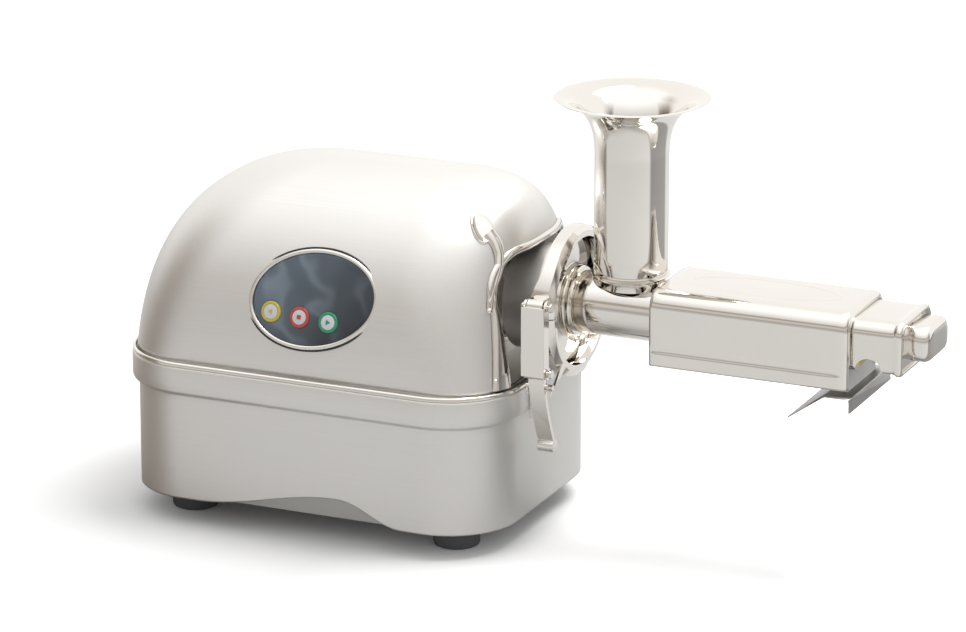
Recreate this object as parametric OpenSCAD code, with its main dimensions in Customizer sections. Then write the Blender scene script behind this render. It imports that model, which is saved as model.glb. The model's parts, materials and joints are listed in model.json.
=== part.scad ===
// Horizontal twin-roller juicer: a sheet-steel housing on rubber feet with a geared motor
// inside, and a pressing barrel clamped to its right-hand end.
// X runs along the barrel from the middle of the housing, Y = 0 is the plane between
// the two rollers and Z = 0 is the floor; place() then centres the whole part.

/* [Housing] */
// Length of the housing over its rim band
base_l = 256; // [250:1:262]
// Width of the housing over its rim band
base_w = 186; // [180:1:196]
// Corner radius of the rim band in plan
corner_r = 48; // [42:1:52]
// Height of the housing's lower edge above the floor
body_z = 16; // [14:0.5:18]
// Height of the rim band's lower edge
band_z = 83; // [80:1:88]
// Height of the rim band
band_h = 18; // [15:1:20]
// How far the rim band stands proud of the wall below it
band_step = 4; // [3:0.5:5]
// Sheet thickness of the housing
sheet_t = 1.5; // [1.2:0.1:2]
// Width of the trim on top of the rim band
trim_w = 2.4; // [2:0.1:2.5]
// Height of the trim on top of the rim band
trim_h = 2.4; // [1.5:0.1:3]
// Rise of the arch in the front and back walls
arch_h = 14; // [8:0.5:15]
// Distance of the arch's crown from the housing's middle
arch_x = 25; // [10:1:30]
// Length of the arch's long left slope
arch_left = 95; // [80:1:100]
// Length of the arch's short right slope
arch_right = 43; // [38:1:48]
// Distance of the base tray's skirt from the wall
tray_gap = 5; // [3:0.5:8]
// Height of the base tray's skirt
tray_h = 18; // [16:0.5:20]

// Width of the plate on the band's right end
plate_w = 72; // [64:1:80]

/* [Dome] */
// Height of the dome above the rim band
dome_h = 116.5; // [112:0.5:120]
// Roundness of the dome's left end
dome_left = 2.6; // [2.2:0.1:4]
// Squareness of the dome's right end
dome_right = 6.4; // [5:0.1:7]
// Roundness of the dome's long sides
dome_side = 2.3; // [2.1:0.1:2.6]
// Corner radius of the dome's foot as a share of its half width
dome_corner = 0.48; // [0.47:0.01:0.6]
// Lean of the dome's crown toward the left
dome_lean = 2.5; // [0:0.5:5]
// Ledge between the rim band and the dome at the ends
end_ledge = 3.2; // [3:0.1:4]
// Ledge between the rim band and the dome along the sides
side_ledge = 4.5; // [4.2:0.1:6]
// Width of the mouth in the dome's right end
mouth_w = 109; // [104:1:112]
// Height of the mouth's crown above the floor
mouth_top = 179.5; // [176:0.5:182]
// Corner radius of the mouth
mouth_corner = 27.5; // [22:0.5:32]
// Height of the sill below the mouth
mouth_sill = 3; // [2.5:0.5:5]
// Width of the polished rim around the mouth
rim_w = 4.5; // [3.5:0.1:5.5]
// Thickness of the rim and its side strap
rim_t = 2.4; // [1.6:0.1:3]
// Width of the side strap
strap_w = 5; // [4:0.2:6]
// Distance of the rim arm's upper end from the middle plane
arm_y = 46; // [44:0.5:48]
// Height of the rim arm's upper end above the floor
arm_top = 194; // [192:1:196]
// Thickness of the rim's arm
arm_t = 4; // [3:0.5:5]

/* [Feet] */
// Diameter of a foot
foot_d = 30; // [24:1:34]
// Distance between the feet along the housing
feet_l = 176; // [160:2:184]
// Distance between the feet across the housing
feet_w = 106; // [96:2:112]

/* [Control panel] */
// Length of the oval panel over its bezel
panel_l = 85; // [76:1:90]
// Height of the oval panel over its bezel
panel_h = 61; // [54:1:64]
// Distance of the panel's middle from the housing's middle
panel_x = 7.3; // [4:0.1:10]
// Height of the panel's middle above the floor
panel_z = 151; // [148:1:154]
// Turn of the oval in its own plane
panel_roll = 9.5; // [0:0.5:12]
// Lean of the panel away from upright
panel_lean = 17; // [15:1:19]
// Width of the bezel ring
bezel_w = 3; // [2:0.2:4]
// Height of the bezel ring in front of the panel's face
bezel_h = 1.6; // [1:0.1:2.4]
// Thickness of the panel's face plate
face_t = 2; // [1.5:0.1:3]
// Diameter of a push button
button_d = 13; // [10:0.2:14]
// Distance between neighbouring buttons
button_pitch = 19; // [16:0.5:20]
// Height of a button in front of the panel's face
button_h = 1.6; // [1.2:0.1:2.4]
// Distance of the power inlet from the middle plane
inlet_y = 30; // [10:1:40]
// Height of the power inlet's middle above the floor
inlet_z = 54; // [52:0.5:60]
// Travel of a push button
button_travel = 1; // [0.5:0.1:1.4]

/* [Drive] */
// Height of the barrel's axis above the floor
axis_z = 145; // [143:0.5:147]
// Outside diameter of the motor's casing
motor_d = 92; // [84:1:94]
// Length of the motor's casing
motor_l = 96; // [84:1:100]
// Height of the motor's axis above the floor
motor_z = 76; // [75:0.5:78]
// Tooth module of the reduction gears
gear_m = 1.25; // [1.23:0.01:1.26]
// Teeth on the motor's pinion and on the small gear of the reduction shaft
pinion_teeth = 12; // [12:1:13]
// Teeth on the reduction wheel and on the output gear
wheel_teeth = 48; // [47:1:49]
// Face width of the first gear stage
stage1_w = 10; // [8:0.5:11]
// Face width of the second gear stage
stage2_w = 13; // [10:0.5:14]
// Diameter of the motor's shaft
motor_shaft_d = 8; // [6:0.5:9]
// Diameter of the reduction shaft
mid_shaft_d = 9; // [8:0.5:10]
// Diameter of the output shaft
out_shaft_d = 15; // [14:0.5:17]
// Diameter of the output shaft beside the reduction wheel
out_journal_d = 11.6; // [10:0.2:12]
// Size of the hexagonal drive across its corners
hex_d = 9; // [8:0.1:9.6]
// Outside diameter of the neck that carries the hub
neck_d = 52; // [48:1:56]
// Diameter of the hub's rear ring
rear_ring_d = 61; // [58:1:63]
// Diameter of the hub's drum
drum_d = 65; // [64:1:68]

/* [Rollers] */
// Distance of each roller's axis from the middle plane
roller_y = 7.8; // [7.6:0.05:7.9]
// Teeth on the coarse feeding stage
feed_teeth = 6; // [6:2:8]
// Teeth on the crushing stage
crush_teeth = 12; // [10:2:12]
// Teeth on the fine pressing stage
press_teeth = 24; // [20:2:24]
// Tooth height outside the rolling circle on the feeding stage
feed_add = 1; // [0.8:0.05:1.05]
// Tooth height outside the rolling circle on the crushing stage
crush_add = 0.8; // [0.6:0.05:0.9]
// Tooth height outside the rolling circle on the pressing stage
press_add = 0.45; // [0.3:0.05:0.5]
// Length of the feeding stage
feed_l = 62; // [56:1:64]
// Length of the crushing stage
crush_l = 54; // [50:1:56]
// Length of the pressing stage
press_l = 52; // [48:1:54]
// Diameter of a roller's journals
journal_d = 8; // [7:0.1:8.6]

/* [Barrel] */
// Outside diameter of the barrel
barrel_d = 38; // [37.6:0.1:40]
// Diameter of the barrel's flange and of the drum's flange
flange_d = 83; // [80:0.5:84]
// Thickness of either flange
flange_t = 2.8; // [2.4:0.1:3]
// Diameter of the collar behind the barrel
collar_d = 44; // [42:0.5:46]
// Distance of the feed tube's axis from the clamped joint
feed_at = 41.4; // [39.4:0.5:42.4]
// Outside diameter of the feed tube
feed_d = 44.6; // [42:0.2:45.4]
// Wall of the feed tube and funnel
feed_t = 1.2; // [1:0.1:1.5]
// Diameter of the funnel's mouth
funnel_d = 93; // [84:1:98]
// Height of the funnel's mouth above the floor
funnel_z = 274; // [266:1:280]
// Height over which the funnel flares
flare_h = 36; // [30:1:40]
// Height of the feed tube's foot above the barrel's axis
saddle_h = 22.5; // [22:0.1:24]

/* [Cover and pulp box] */
// Distance of the juice cover from the clamped joint
cover_at = 65.4; // [65:0.2:67.4]
// Length of the juice cover
cover_l = 125; // [122:1:128]
// Width of the juice cover
cover_w = 65; // [63:1:72]
// Height of the juice cover
cover_h = 46; // [44:1:48]
// Height of the cover's lower edge above the floor
cover_z = 121; // [119:1:122]
// Sheet thickness of the cover and the pulp box
cover_t = 1.2; // [1:0.1:1.4]
// Radius of the cover's upper corners
cover_r = 11; // [9:1:12]
// Depth of the lip turned in at the cover's front end
cover_lip = 3; // [2:0.2:3.4]
// Outside radius of either lobe of the strainer
screen_r = 10.8; // [10.4:0.1:11.4]
// Width of a slot in the strainer
slot_w = 2.2; // [1.5:0.1:2.6]
// Length of the pulp box in front of the cover
pulp_l = 34; // [31:1:37]
// Width of the pulp box
pulp_w = 52; // [50:1:54]
// Height of the pulp box
pulp_h = 39; // [37:1:40]
// Height of the pulp box's lower edge above the floor
pulp_z = 119; // [117:0.5:120]
// Radius of the half-round outlet in the pulp box's sides
outlet_r = 9.3; // [7:0.1:10]
// Length of the rounded nose
nose_l = 11; // [9:1:13]
// Width of the rounded nose
nose_w = 38; // [34:1:42]
// Height of the rounded nose
nose_h = 25; // [22:1:27]
// Width of the pulp deflector
deflector_w = 60; // [54:1:64]
// Slope of the pulp deflector's blade
deflector_a = 35; // [30:1:42]
// Length of the deflector's sloping blade
deflector_l = 27; // [22:1:32]

/* [Clamp] */
// How far the clamped joint stands out from the housing's end
joint_out = 8.6; // [8.4:0.1:9]
// Length of the drum behind the joint
drum_l = 28.6; // [27:0.2:30]
// Outside diameter of the clamp ring
clamp_d = 92; // [90.5:0.5:94]
// Width of the clamp ring
clamp_w = 16; // [16:0.5:17]
// Distance of the clamp's hinge pin from the barrel's axis
hinge_y = 49.5; // [49:0.5:51]
// Distance of the latch's upper pin from the barrel's middle plane
latch_y = 50.5; // [50:0.5:52]
// Height of the latch's upper pin above the barrel's axis
latch_up = 9.5; // [8:0.5:11]
// Length of the latch link between its pins
link_l = 41; // [39:0.5:43]
// Diameter of the clamp's pins
pin_d = 3.6; // [3:0.1:4]
// Length of the clamp's handle below the link
handle_l = 50; // [42:1:56]
// Thickness of the clamp's handle
handle_t = 3; // [2.4:0.1:3.6]

/* [Fits] */
// Gap between pieces that move past each other
gap = 0.4; // [0.35:0.05:0.45]
// Radial clearance of a pin or a shaft in its bore
fit = 0.05; // [0.03:0.01:0.08]

/* [Hidden] */

$fn = 64;
eps = 0.01;
far = 400;
band_top = band_z + band_h;
wall_l = base_l - 2 * band_step;
wall_w = base_w - 2 * band_step;
wall_r = corner_r - band_step;
foot_h = body_z;
dome_a = base_l / 2 - end_ledge;
dome_b = base_w / 2 - side_ledge;
drive_y = -roller_y;

// Drive train
tooth_gap = 0.66;
centre_d = gear_m * (pinion_teeth + wheel_teeth) / 2;
shaft_rise = axis_z - motor_z;
mid_z = motor_z + shaft_rise / 2;
mid_y = drive_y + sqrt(centre_d * centre_d - shaft_rise * shaft_rise / 4);
mesh_a = acos(shaft_rise / 2 / centre_d);
plate_t = 6;
lid_x = 2;
stage1_x = lid_x + plate_t + 3;
stage2_x = stage1_x + 16;
case_end = 50;
case_w = 92;
case_y = 2;
case_t = 4;
case_foot = motor_z - 34;
case_top = axis_z + gear_m * wheel_teeth / 2 + 9;
bearing_r = 13;
tray_top = body_z + 2;
motor_x = lid_x - motor_l;
motor_wall = 4;
core_l = motor_l - 46;
core_d = motor_d - 42;

// Clamped joint and barrel
cup_x = base_l / 2 - 34;
joint_x = base_l / 2 + joint_out;
drum_x = joint_x - drum_l;
clamp_x = joint_x - 5.6;
feed_x = joint_x + feed_at;
cover_x = joint_x + cover_at;
barrel_flange_x = joint_x + 0.2;
collar_x = barrel_flange_x + flange_t;
collar_l = 7;
tube_x = collar_x + collar_l;
barrel_end = cover_x + 8;
bore_r = roller_y + feed_add + gap;
roll_x = tube_x + 4;
stage_gap = 0.5;
crush_x = roll_x + feed_l;
press_x = crush_x + crush_l;
roll_end = press_x + press_l;
box_x = cover_x + cover_l - 2.5;
box_end = cover_x + cover_l + pulp_l;
nose_x = box_end + nose_l;
mid_x = (nose_x - base_l / 2) / 2;
bushing_x = box_x + 2;
bushing_t = 5;
screen_end = box_x - 3;

// Push buttons, as places in the panel's own plane
button_x = -7.4;
button_drop = -11.9;
button_at = [[button_x - button_pitch, button_drop + 1.2], [button_x, button_drop],
             [button_x + button_pitch, button_drop - 0.9]];
stem_d = 6;
board_gap = 12;
panel_y = -(dome_b * pow(1 - pow((panel_z - band_top) / dome_h, dome_side), 1 / dome_side)) + 2;

steel = "#c9cac9";
bright = "#d9dbde";
dark = "#3c3f44";
rubber = "#26282b";
brass = "#b89a56";
green_board = "#2f5d43";

module place() translate([-mid_x, 0, 0]) children();

// A flat shape in Y and Z, drawn out along X from x over a length l
module bar_x(x, l) translate([x, 0, 0]) rotate([90, 0, 90]) linear_extrude(l) children();

// A flat shape in X and Z, drawn out along Y and centred on y
module bar_y(y, w) translate([0, y + w / 2, 0]) rotate([90, 0, 0]) linear_extrude(w) children();

// A round bar along X
module rod(x, l, d, y, z) translate([x, y, z]) rotate([0, 90, 0]) cylinder(d = d, h = l);

// A rounded rectangle
module rounded(l, w, r) {
    square([l - 2 * r, w], center = true);
    square([l, w - 2 * r], center = true);
    for (x = [-1, 1], y = [-1, 1])
        translate([x * (l / 2 - r), y * (w / 2 - r)])
            circle(r);
}

module block(l, w, r, z0, z1) translate([0, 0, z0]) linear_extrude(z1 - z0) rounded(l, w, r);

// An ellipse as a polygon
module oval(l, h)
    polygon([for (a = [0:6:354]) [l / 2 * cos(a), h / 2 * sin(a)]]);

// ---- Dome ----
function fade(q, e) = pow(1 - pow(q, e), 1 / e);
function dome_ring(q, t) =
    let (left = (dome_a + t) * fade(q, dome_left),
         right = (dome_a + t) * fade(q, dome_right),
         half = (dome_b + t) * fade(q, dome_side),
         r = (dome_corner + (1 - dome_corner) * q) * min(half, (left + right) / 2),
         at = -dome_lean * q, steps = 8)
    [for (c = [0:3], i = [0:steps])
        let (a = c * 90 + i * 90 / steps,
             x = (c == 0 || c == 3) ? right - r : r - left,
             y = c < 2 ? half - r : r - half)
        [at + x + r * cos(a), y + r * sin(a), band_top + q * (dome_h + t)]];

// The dome as one solid, grown by t
module dome_solid(t) {
    layers = 14;
    rings = [for (k = [0:layers]) dome_ring(pow(sin(88.6 * k / layers), 0.92), t)];
    n = len(rings[0]);
    points = [for (ring = rings, p = ring) p];
    sides = [for (k = [0:layers - 1], i = [0:n - 1])
                let (j = (i + 1) % n, a = k * n + i, b = k * n + j)
                each [[a, a + n, b + n], [a, b + n, b]]];
    polyhedron(points, concat([[for (i = [0:n - 1]) i]], sides,
                              [[for (i = [n - 1:-1:0]) layers * n + i]]));
}

// The dome's foremost X at a distance y from the middle plane and a height z
function dome_x(y, z) =
    let (q = (z - band_top) / dome_h,
         right = dome_a * fade(q, dome_right),
         half = dome_b * fade(q, dome_side),
         r = (dome_corner + (1 - dome_corner) * q) * min(half, (dome_a * fade(q, dome_left) + right) / 2),
         over = max(0, abs(y) - half + r))
    right - dome_lean * q - r + sqrt(r * r - over * over);

// The mouth's outline in Y and Z, grown to the sides and above, with its sill raised by lift
module mouth_shape(grow, lift)
    hood(mouth_w + 2 * grow, mouth_top + grow - band_top - mouth_sill - lift, mouth_corner + grow,
         band_top + mouth_sill + lift);

// A flat shape in Y and Z laid on the dome's right end, t thick
module on_dome(t) intersection() {
    difference() {
        dome_solid(t);
        dome_solid(0.2);
    }
    bar_x(cup_x, 60) children();
}

// Places a shape on the control panel: X to the right, Y up, Z out of the face
module on_panel()
    place() translate([panel_x, panel_y, panel_z]) rotate([90 - panel_lean, 0, 0]) children();
module panel_cut(extra)
    translate([panel_x, panel_y, panel_z]) rotate([90 - panel_lean, 0, 0])
        translate([0, 0, -20]) rotate([0, 0, panel_roll])
            linear_extrude(40) oval(panel_l + extra, panel_h + extra);

// ---- Housing ----
// The opening under the front and back walls: two slopes of half a cosine wave each
module arch_shape() translate([arch_x, body_z]) {
    steps = 12;
    rise = [for (k = [0:2 * steps])
               let (t = (k - steps) / steps)
               [t * (t < 0 ? arch_left : arch_right), arch_h * (1 + cos(180 * t)) / 2]];
    polygon(concat([[-arch_left, -1]], rise, [[arch_right, -1]]));
}

module lower_body() color(steel) place() difference() {
    union() {
        block(wall_l, wall_w, wall_r, body_z, band_z + eps);
        block(base_l, base_w, corner_r, band_z, band_top);
    }
    block(wall_l - 2 * sheet_t, wall_w - 2 * sheet_t, wall_r - sheet_t, body_z - 1, band_z + sheet_t);
    block(base_l - 2 * sheet_t, base_w - 2 * sheet_t, corner_r - sheet_t,
          band_z + sheet_t - eps, band_top - sheet_t);
    block(2 * dome_a - 12, 2 * dome_b - 12, corner_r - 12, band_top - sheet_t - 1, band_top + 1);
    bar_y(0, far) arch_shape();
    rod(-base_l / 2 - 1, 12, 30, inlet_y, inlet_z);
}

module rim_trim() color(bright) place() difference() {
    block(base_l - 0.6, base_w - 0.6, corner_r - 0.3, band_top, band_top + trim_h);
    block(base_l - 0.6 - 2 * trim_w, base_w - 0.6 - 2 * trim_w, corner_r - 0.3 - trim_w,
          band_top - 1, band_top + trim_h + 1);
}

module base_tray() color(steel) place() difference() {
    tray_l = wall_l - 2 * sheet_t - 2 * tray_gap;
    tray_w = wall_w - 2 * sheet_t - 2 * tray_gap;
    block(tray_l, tray_w, wall_r - 8, foot_h, foot_h + tray_h);
    block(tray_l - 3, tray_w - 3, wall_r - 9.5, tray_top, foot_h + tray_h + 1);
    at_feet() translate([0, 0, foot_h - 1]) cylinder(d = 4 + 2 * fit, h = 8);
}

module at_feet()
    for (x = [-1, 1], y = [-1, 1])
        translate([x * feet_l / 2, y * feet_w / 2, 0])
            children();

module feet() color(rubber) place() at_feet() difference() {
    cylinder(d = foot_d, h = foot_h - eps);
    translate([0, 0, -1]) cylinder(d = 9, h = 7);
    translate([0, 0, 5]) cylinder(d = 4 + 2 * fit, h = foot_h);
}

module foot_screws() color(bright) place() at_feet() {
    translate([0, 0, 3]) cylinder(d = 8, h = 3 - eps);
    translate([0, 0, 5.5]) cylinder(d = 4, h = tray_top - 3);
}

module top_dome() color(steel) place() difference() {
    dome_solid(0);
    dome_solid(-sheet_t);
    bar_x(cup_x, 60) mouth_shape(0, 0);
    panel_cut(2 * fit);
}

// The pins of the rim's arm and strap, as places in Y and Z
rim_pins = [[-mouth_w / 2 - rim_w - 2.5, axis_z + 5], [-arm_y, arm_top]];

// The polished rim around the mouth, with an arm and a strap on the panel's side
module side_straps() color(bright) place() difference() {
    edge = mouth_w / 2 + rim_w;
    foot = band_top + trim_h + 9;
    union() {
        on_dome(rim_t) {
            mouth_shape(rim_w, 0);
            polygon([[1 - edge, axis_z + 3], [-edge - strap_w, axis_z + 3],
                     [-edge - strap_w - 6, foot], [-edge - 6, foot]]);
            translate([-arm_y, arm_top]) circle(r = 8);
        }
        on_dome(arm_t) {
            polygon([[1 - edge, axis_z + 1], [-edge - strap_w, axis_z + 1],
                     [-arm_y - 4.5, arm_top], [4.5 - arm_y, arm_top]]);
            translate([-arm_y, arm_top]) circle(r = 4.5);
        }
    }
    bar_x(cup_x, 60) mouth_shape(0, -1);
    for (p = rim_pins)
        rod(cup_x, 60, pin_d + 2 * fit, p[0], p[1]);
}

module strap_pins() color(bright) place() difference() {
    for (p = rim_pins)
        rod(dome_x(p[0], p[1]) - 12, 12 + arm_t + 2, pin_d, p[0], p[1]);
    dome_solid(0.05);
}

module end_plate() color(steel) place() difference() {
    translate([base_l / 2 + eps, -plate_w / 2, band_z - 4]) cube([1.2, plate_w, band_h + 2]);
    for (s = [-1, 1])
        rod(base_l / 2 - 1, 4, 4 + 2 * fit, s * (plate_w / 2 - 8), band_z + 8);
}

module end_plate_screws() color(bright) place()
    for (s = [-1, 1])
        rod(base_l / 2 + 1.2 + 2 * eps, 1.8, 7, s * (plate_w / 2 - 8), band_z + 8);

// ---- Control panel ----
module panel_bezel() color(bright) on_panel() translate([0, 0, -7]) rotate([0, 0, panel_roll])
    linear_extrude(7 + bezel_h) difference() {
        oval(panel_l, panel_h);
        oval(panel_l - 2 * bezel_w, panel_h - 2 * bezel_w);
    }

module panel_face() color("#5c6b78") on_panel() translate([0, 0, -face_t]) linear_extrude(face_t)
    difference() {
        rotate([0, 0, panel_roll])
            oval(panel_l - 2 * bezel_w - 0.1, panel_h - 2 * bezel_w - 0.1);
        for (p = button_at)
            translate(p) circle(d = button_d + 2 * gap);
    }

module push_button(p, tone) color(tone) on_panel() translate([p[0], p[1], 0]) {
    translate([0, 0, -face_t + 0.5]) cylinder(d = button_d, h = face_t - 0.5 + button_h);
    translate([0, 0, -board_gap + 6 + button_travel + gap])
        cylinder(d = stem_d, h = board_gap - 6);
}
module reverse_button() push_button(button_at[0], "#b8a82c");
module stop_button() push_button(button_at[1], "#b03a2a");
module start_button() push_button(button_at[2], "#1f7a54");

module control_board() color(green_board) on_panel()
    translate([-34, -22, -board_gap - 1.6]) cube([62, 34, 1.6 - eps]);

module button_switches() color(dark) on_panel()
    for (p = button_at)
        translate([p[0] - 4, p[1] - 4, -board_gap]) cube([8, 8, 6]);

module power_inlet() color(dark) place() {
    rod(-wall_l / 2 - 1.5, 1.5 - eps, 34, inlet_y, inlet_z);
    rod(-wall_l / 2 - eps, 16, 30 - 2 * fit, inlet_y, inlet_z);
}

// ---- Motor ----
module motor_casing() color(steel) place() difference() {
    rod(motor_x, motor_l - eps, motor_d, drive_y, motor_z);
    rod(motor_x + motor_wall, motor_l - 2 * motor_wall, motor_d - 5, drive_y, motor_z);
    rod(motor_x - 1, motor_l + 2, 22 + 2 * fit, drive_y, motor_z);
}

module motor_cradle() color(dark) place()
    for (x = [motor_x + 8, motor_x + motor_l - 20])
        difference() {
            translate([x, drive_y - 34, tray_top + eps]) cube([6, 68, 34]);
            rod(x - 1, 8, motor_d + 2 * eps, drive_y, motor_z);
        }

module motor_stator() color(dark) place() difference() {
    rod(motor_x + 30, core_l, motor_d - 5 - 0.1, drive_y, motor_z);
    rod(motor_x + 29, core_l + 2, core_d, drive_y, motor_z);
}

module motor_rotor() color(brass) place() {
    rod(motor_x - 6, motor_l + 6 + stage1_x + stage1_w - lid_x, motor_shaft_d, drive_y, motor_z);
    rod(motor_x + 30, core_l, core_d - 1, drive_y, motor_z);
    rod(motor_x + 12, 12, 30, drive_y, motor_z);
}

module cooling_fan() color(dark) place() {
    difference() {
        rod(motor_x + motor_l - 13, 7, 24, drive_y, motor_z);
        rod(motor_x + motor_l - 14, 9, motor_shaft_d + 2 * fit, drive_y, motor_z);
    }
    for (a = [0:40:320])
        translate([motor_x + motor_l - 13, drive_y, motor_z]) rotate([a, 0, 0])
            translate([0.5, -1, 11]) cube([6, 2, motor_d / 2 - 20]);
}

// ---- Gears ----
// Half of a tooth's thickness at a height h above the rolling circle, as an angle at radius r
function half_tooth(m, h, r) = ((PI * m - tooth_gap) / 4 - h * tan(20)) / r * 180 / PI;
function tooth_ring(n, roll_r, add) =
    let (m = 2 * roll_r / n, root = roll_r - add - gap, tip = roll_r + add,
         a = half_tooth(m, -add - gap, root), b = half_tooth(m, add, tip))
    [for (k = [0:n - 1], c = [[root, -a], [tip, -b], [tip, b], [root, a]])
        c[0] * [cos(k * 360 / n + c[1]), sin(k * 360 / n + c[1])]];

// A spur gear along X, with a tooth standing at angle a from +Y
module spur(x, w, n, a, bore, y, z) translate([0, y, z]) bar_x(x, w) difference() {
    rotate(a) polygon(tooth_ring(n, gear_m * n / 2, 0.85 * gear_m));
    circle(d = bore);
}

// Direction from the motor's axis to the reduction shaft, and on to the output shaft
to_mid = 90 - mesh_a;
to_out = 90 + mesh_a;

module motor_pinion() color(steel) place()
    spur(stage1_x, stage1_w, pinion_teeth, to_mid, motor_shaft_d + 2 * fit, drive_y, motor_z);

module reduction_wheel() color(steel) place()
    spur(stage1_x, stage1_w, wheel_teeth, to_mid + 180 + 180 / wheel_teeth,
         mid_shaft_d + 2 * fit, mid_y, mid_z);

module reduction_shaft() color(bright) place() {
    rod(lid_x + 0.5, case_end - lid_x - 4, mid_shaft_d, mid_y, mid_z);
    translate([0, mid_y, mid_z]) bar_x(stage2_x, stage2_w)
        rotate(to_out) polygon(tooth_ring(pinion_teeth, gear_m * pinion_teeth / 2, 0.85 * gear_m));
}

module output_gear() color(brass) place()
    spur(stage2_x, stage2_w, wheel_teeth, to_out + 180 + 180 / wheel_teeth,
         out_shaft_d + 2 * fit, drive_y, axis_z);

module output_shaft() color(bright) place() difference() {
    union() {
        rod(lid_x + 0.5, stage2_x - lid_x - 1, out_journal_d, drive_y, axis_z);
        rod(stage2_x - 1, drum_x + 21.5 - stage2_x, out_shaft_d, drive_y, axis_z);
    }
    translate([drum_x - 4, drive_y, axis_z]) rotate([0, 90, 0])
        cylinder(d = hex_d + 4 * fit, h = 40, $fn = 6);
}

module case_shape(x, l, inset) {
    foot = inset == 0 ? tray_top + eps : case_foot;
    translate([x, case_y - case_w / 2 + inset, foot])
        cube([l, case_w - 2 * inset, case_top - inset - foot]);
}

module gearbox_case() color(steel) place() difference() {
    case_shape(lid_x + plate_t + eps, case_end - lid_x - plate_t - eps, 0);
    case_shape(0, case_end - plate_t, case_t);
    rod(case_end - plate_t - 1, 8, 2 * bearing_r + 2 * fit, mid_y, mid_z);
    rod(case_end - plate_t - 1, 8, 2 * bearing_r + 2 * fit, drive_y, axis_z);
}

module gearbox_lid() color(steel) place() difference() {
    case_shape(lid_x + eps, plate_t - eps, 0);
    rod(lid_x - 1, 8, 2 * bearing_r + 2 * fit, mid_y, mid_z);
    rod(lid_x - 1, 8, 2 * bearing_r + 2 * fit, drive_y, axis_z);
    rod(lid_x - 1, 8, 22 + 2 * fit, drive_y, motor_z);
}

module ring_x(x, l, od, id, y, z) difference() {
    rod(x, l, od, y, z);
    rod(x - 1, l + 2, id, y, z);
}

module bearings() color(bright) place() {
    ring_x(lid_x + eps, plate_t, 2 * bearing_r, mid_shaft_d + 2 * fit, mid_y, mid_z);
    ring_x(lid_x + eps, plate_t, 2 * bearing_r, out_journal_d + 2 * fit, drive_y, axis_z);
    ring_x(lid_x + eps, plate_t, 22, motor_shaft_d + 2 * fit, drive_y, motor_z);
    ring_x(motor_x, motor_wall, 22, motor_shaft_d + 2 * fit, drive_y, motor_z);
    ring_x(case_end - plate_t, plate_t, 2 * bearing_r, mid_shaft_d + 2 * fit, mid_y, mid_z);
    ring_x(case_end - plate_t, plate_t, 2 * bearing_r, out_shaft_d + 2 * fit, drive_y, axis_z);
    ring_x(drum_x - 7, 6, 2 * bearing_r, out_shaft_d + 2 * fit, drive_y, axis_z);
}

// ---- Hub ----
module hub_neck() color(steel) place()
    ring_x(case_end + eps, cup_x - case_end - 2 * eps, neck_d, neck_d - 6, 0, axis_z);

module mouth_cup() color(bright) place() difference() {
    intersection() {
        bar_x(cup_x, 40) mouth_shape(1.5, -1.5);
        dome_solid(-sheet_t - 0.4);
    }
    bar_x(cup_x + 2, 60) mouth_shape(0, 0);
    rod(cup_x - 1, 8, neck_d - 12, 0, axis_z);
}

module rear_ring() color(bright) place() difference() {
    rod(cup_x + 2 + eps, drum_x - cup_x - 2 - 2 * eps, rear_ring_d, 0, axis_z);
    rod(cup_x, 20, 2 * bearing_r + 2 * fit, drive_y, axis_z);
}

module hub_drum() color(steel) place() difference() {
    union() {
        rod(drum_x, joint_x - drum_x, drum_d, 0, axis_z);
        rod(joint_x - flange_t, flange_t, flange_d, 0, axis_z);
    }
    rod(drum_x - 1, 24, out_shaft_d + 2, drive_y, axis_z);
    rod(joint_x - 10, 12, 36, 0, axis_z);
}

// ---- Clamp ----
// The whole clamp ring, before it is split; the groove takes both flanges
module clamp_body() difference() {
    union() {
        rod(clamp_x, clamp_w - 4, clamp_d, 0, axis_z);
        translate([clamp_x + clamp_w - 4, 0, axis_z]) rotate([0, 90, 0])
            cylinder(r1 = clamp_d / 2, r2 = clamp_d / 2 - 3.5, h = 4);
    }
    rod(clamp_x - 1, clamp_w + 2, flange_d - 5, 0, axis_z);
    rod(joint_x - flange_t - gap, 2 * flange_t + 0.2 + 2 * gap, flange_d + 2 * gap, 0, axis_z);
}

knuckle_x = clamp_x + 3;
knuckle_l = clamp_w - 6;
link_low = latch_up - link_l;
rest_pin = [-latch_y + 5, link_low - 10];

module clamp_ring_upper() color(bright) place() difference() {
    union() {
        difference() {
            clamp_body();
            translate([0, -far / 2, axis_z + gap / 2 - far]) cube(far);
        }
        translate([0, 0, axis_z]) bar_x(knuckle_x, knuckle_l) {
            translate([-latch_y, latch_up]) circle(r = 4.5);
            translate([-latch_y, latch_up - 4.5]) square([8, 9]);
        }
        translate([0, 0, axis_z]) bar_x(knuckle_x + 2, knuckle_l - 4) {
            translate([hinge_y, 0]) circle(r = 4.5);
            translate([hinge_y - 7, gap / 2]) square([7, 4.5 - gap / 2]);
        }
    }
    rod(clamp_x - 1, clamp_w + 2, pin_d + 2 * fit, -latch_y, axis_z + latch_up);
    rod(clamp_x - 1, clamp_w + 2, pin_d + 2 * fit, hinge_y, axis_z);
    rod(clamp_x - 1, 3 + gap + 3, 9 + 2 * gap, hinge_y, axis_z);
    rod(knuckle_x + knuckle_l - 2 - gap, 9, 9 + 2 * gap, hinge_y, axis_z);
}

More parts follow.
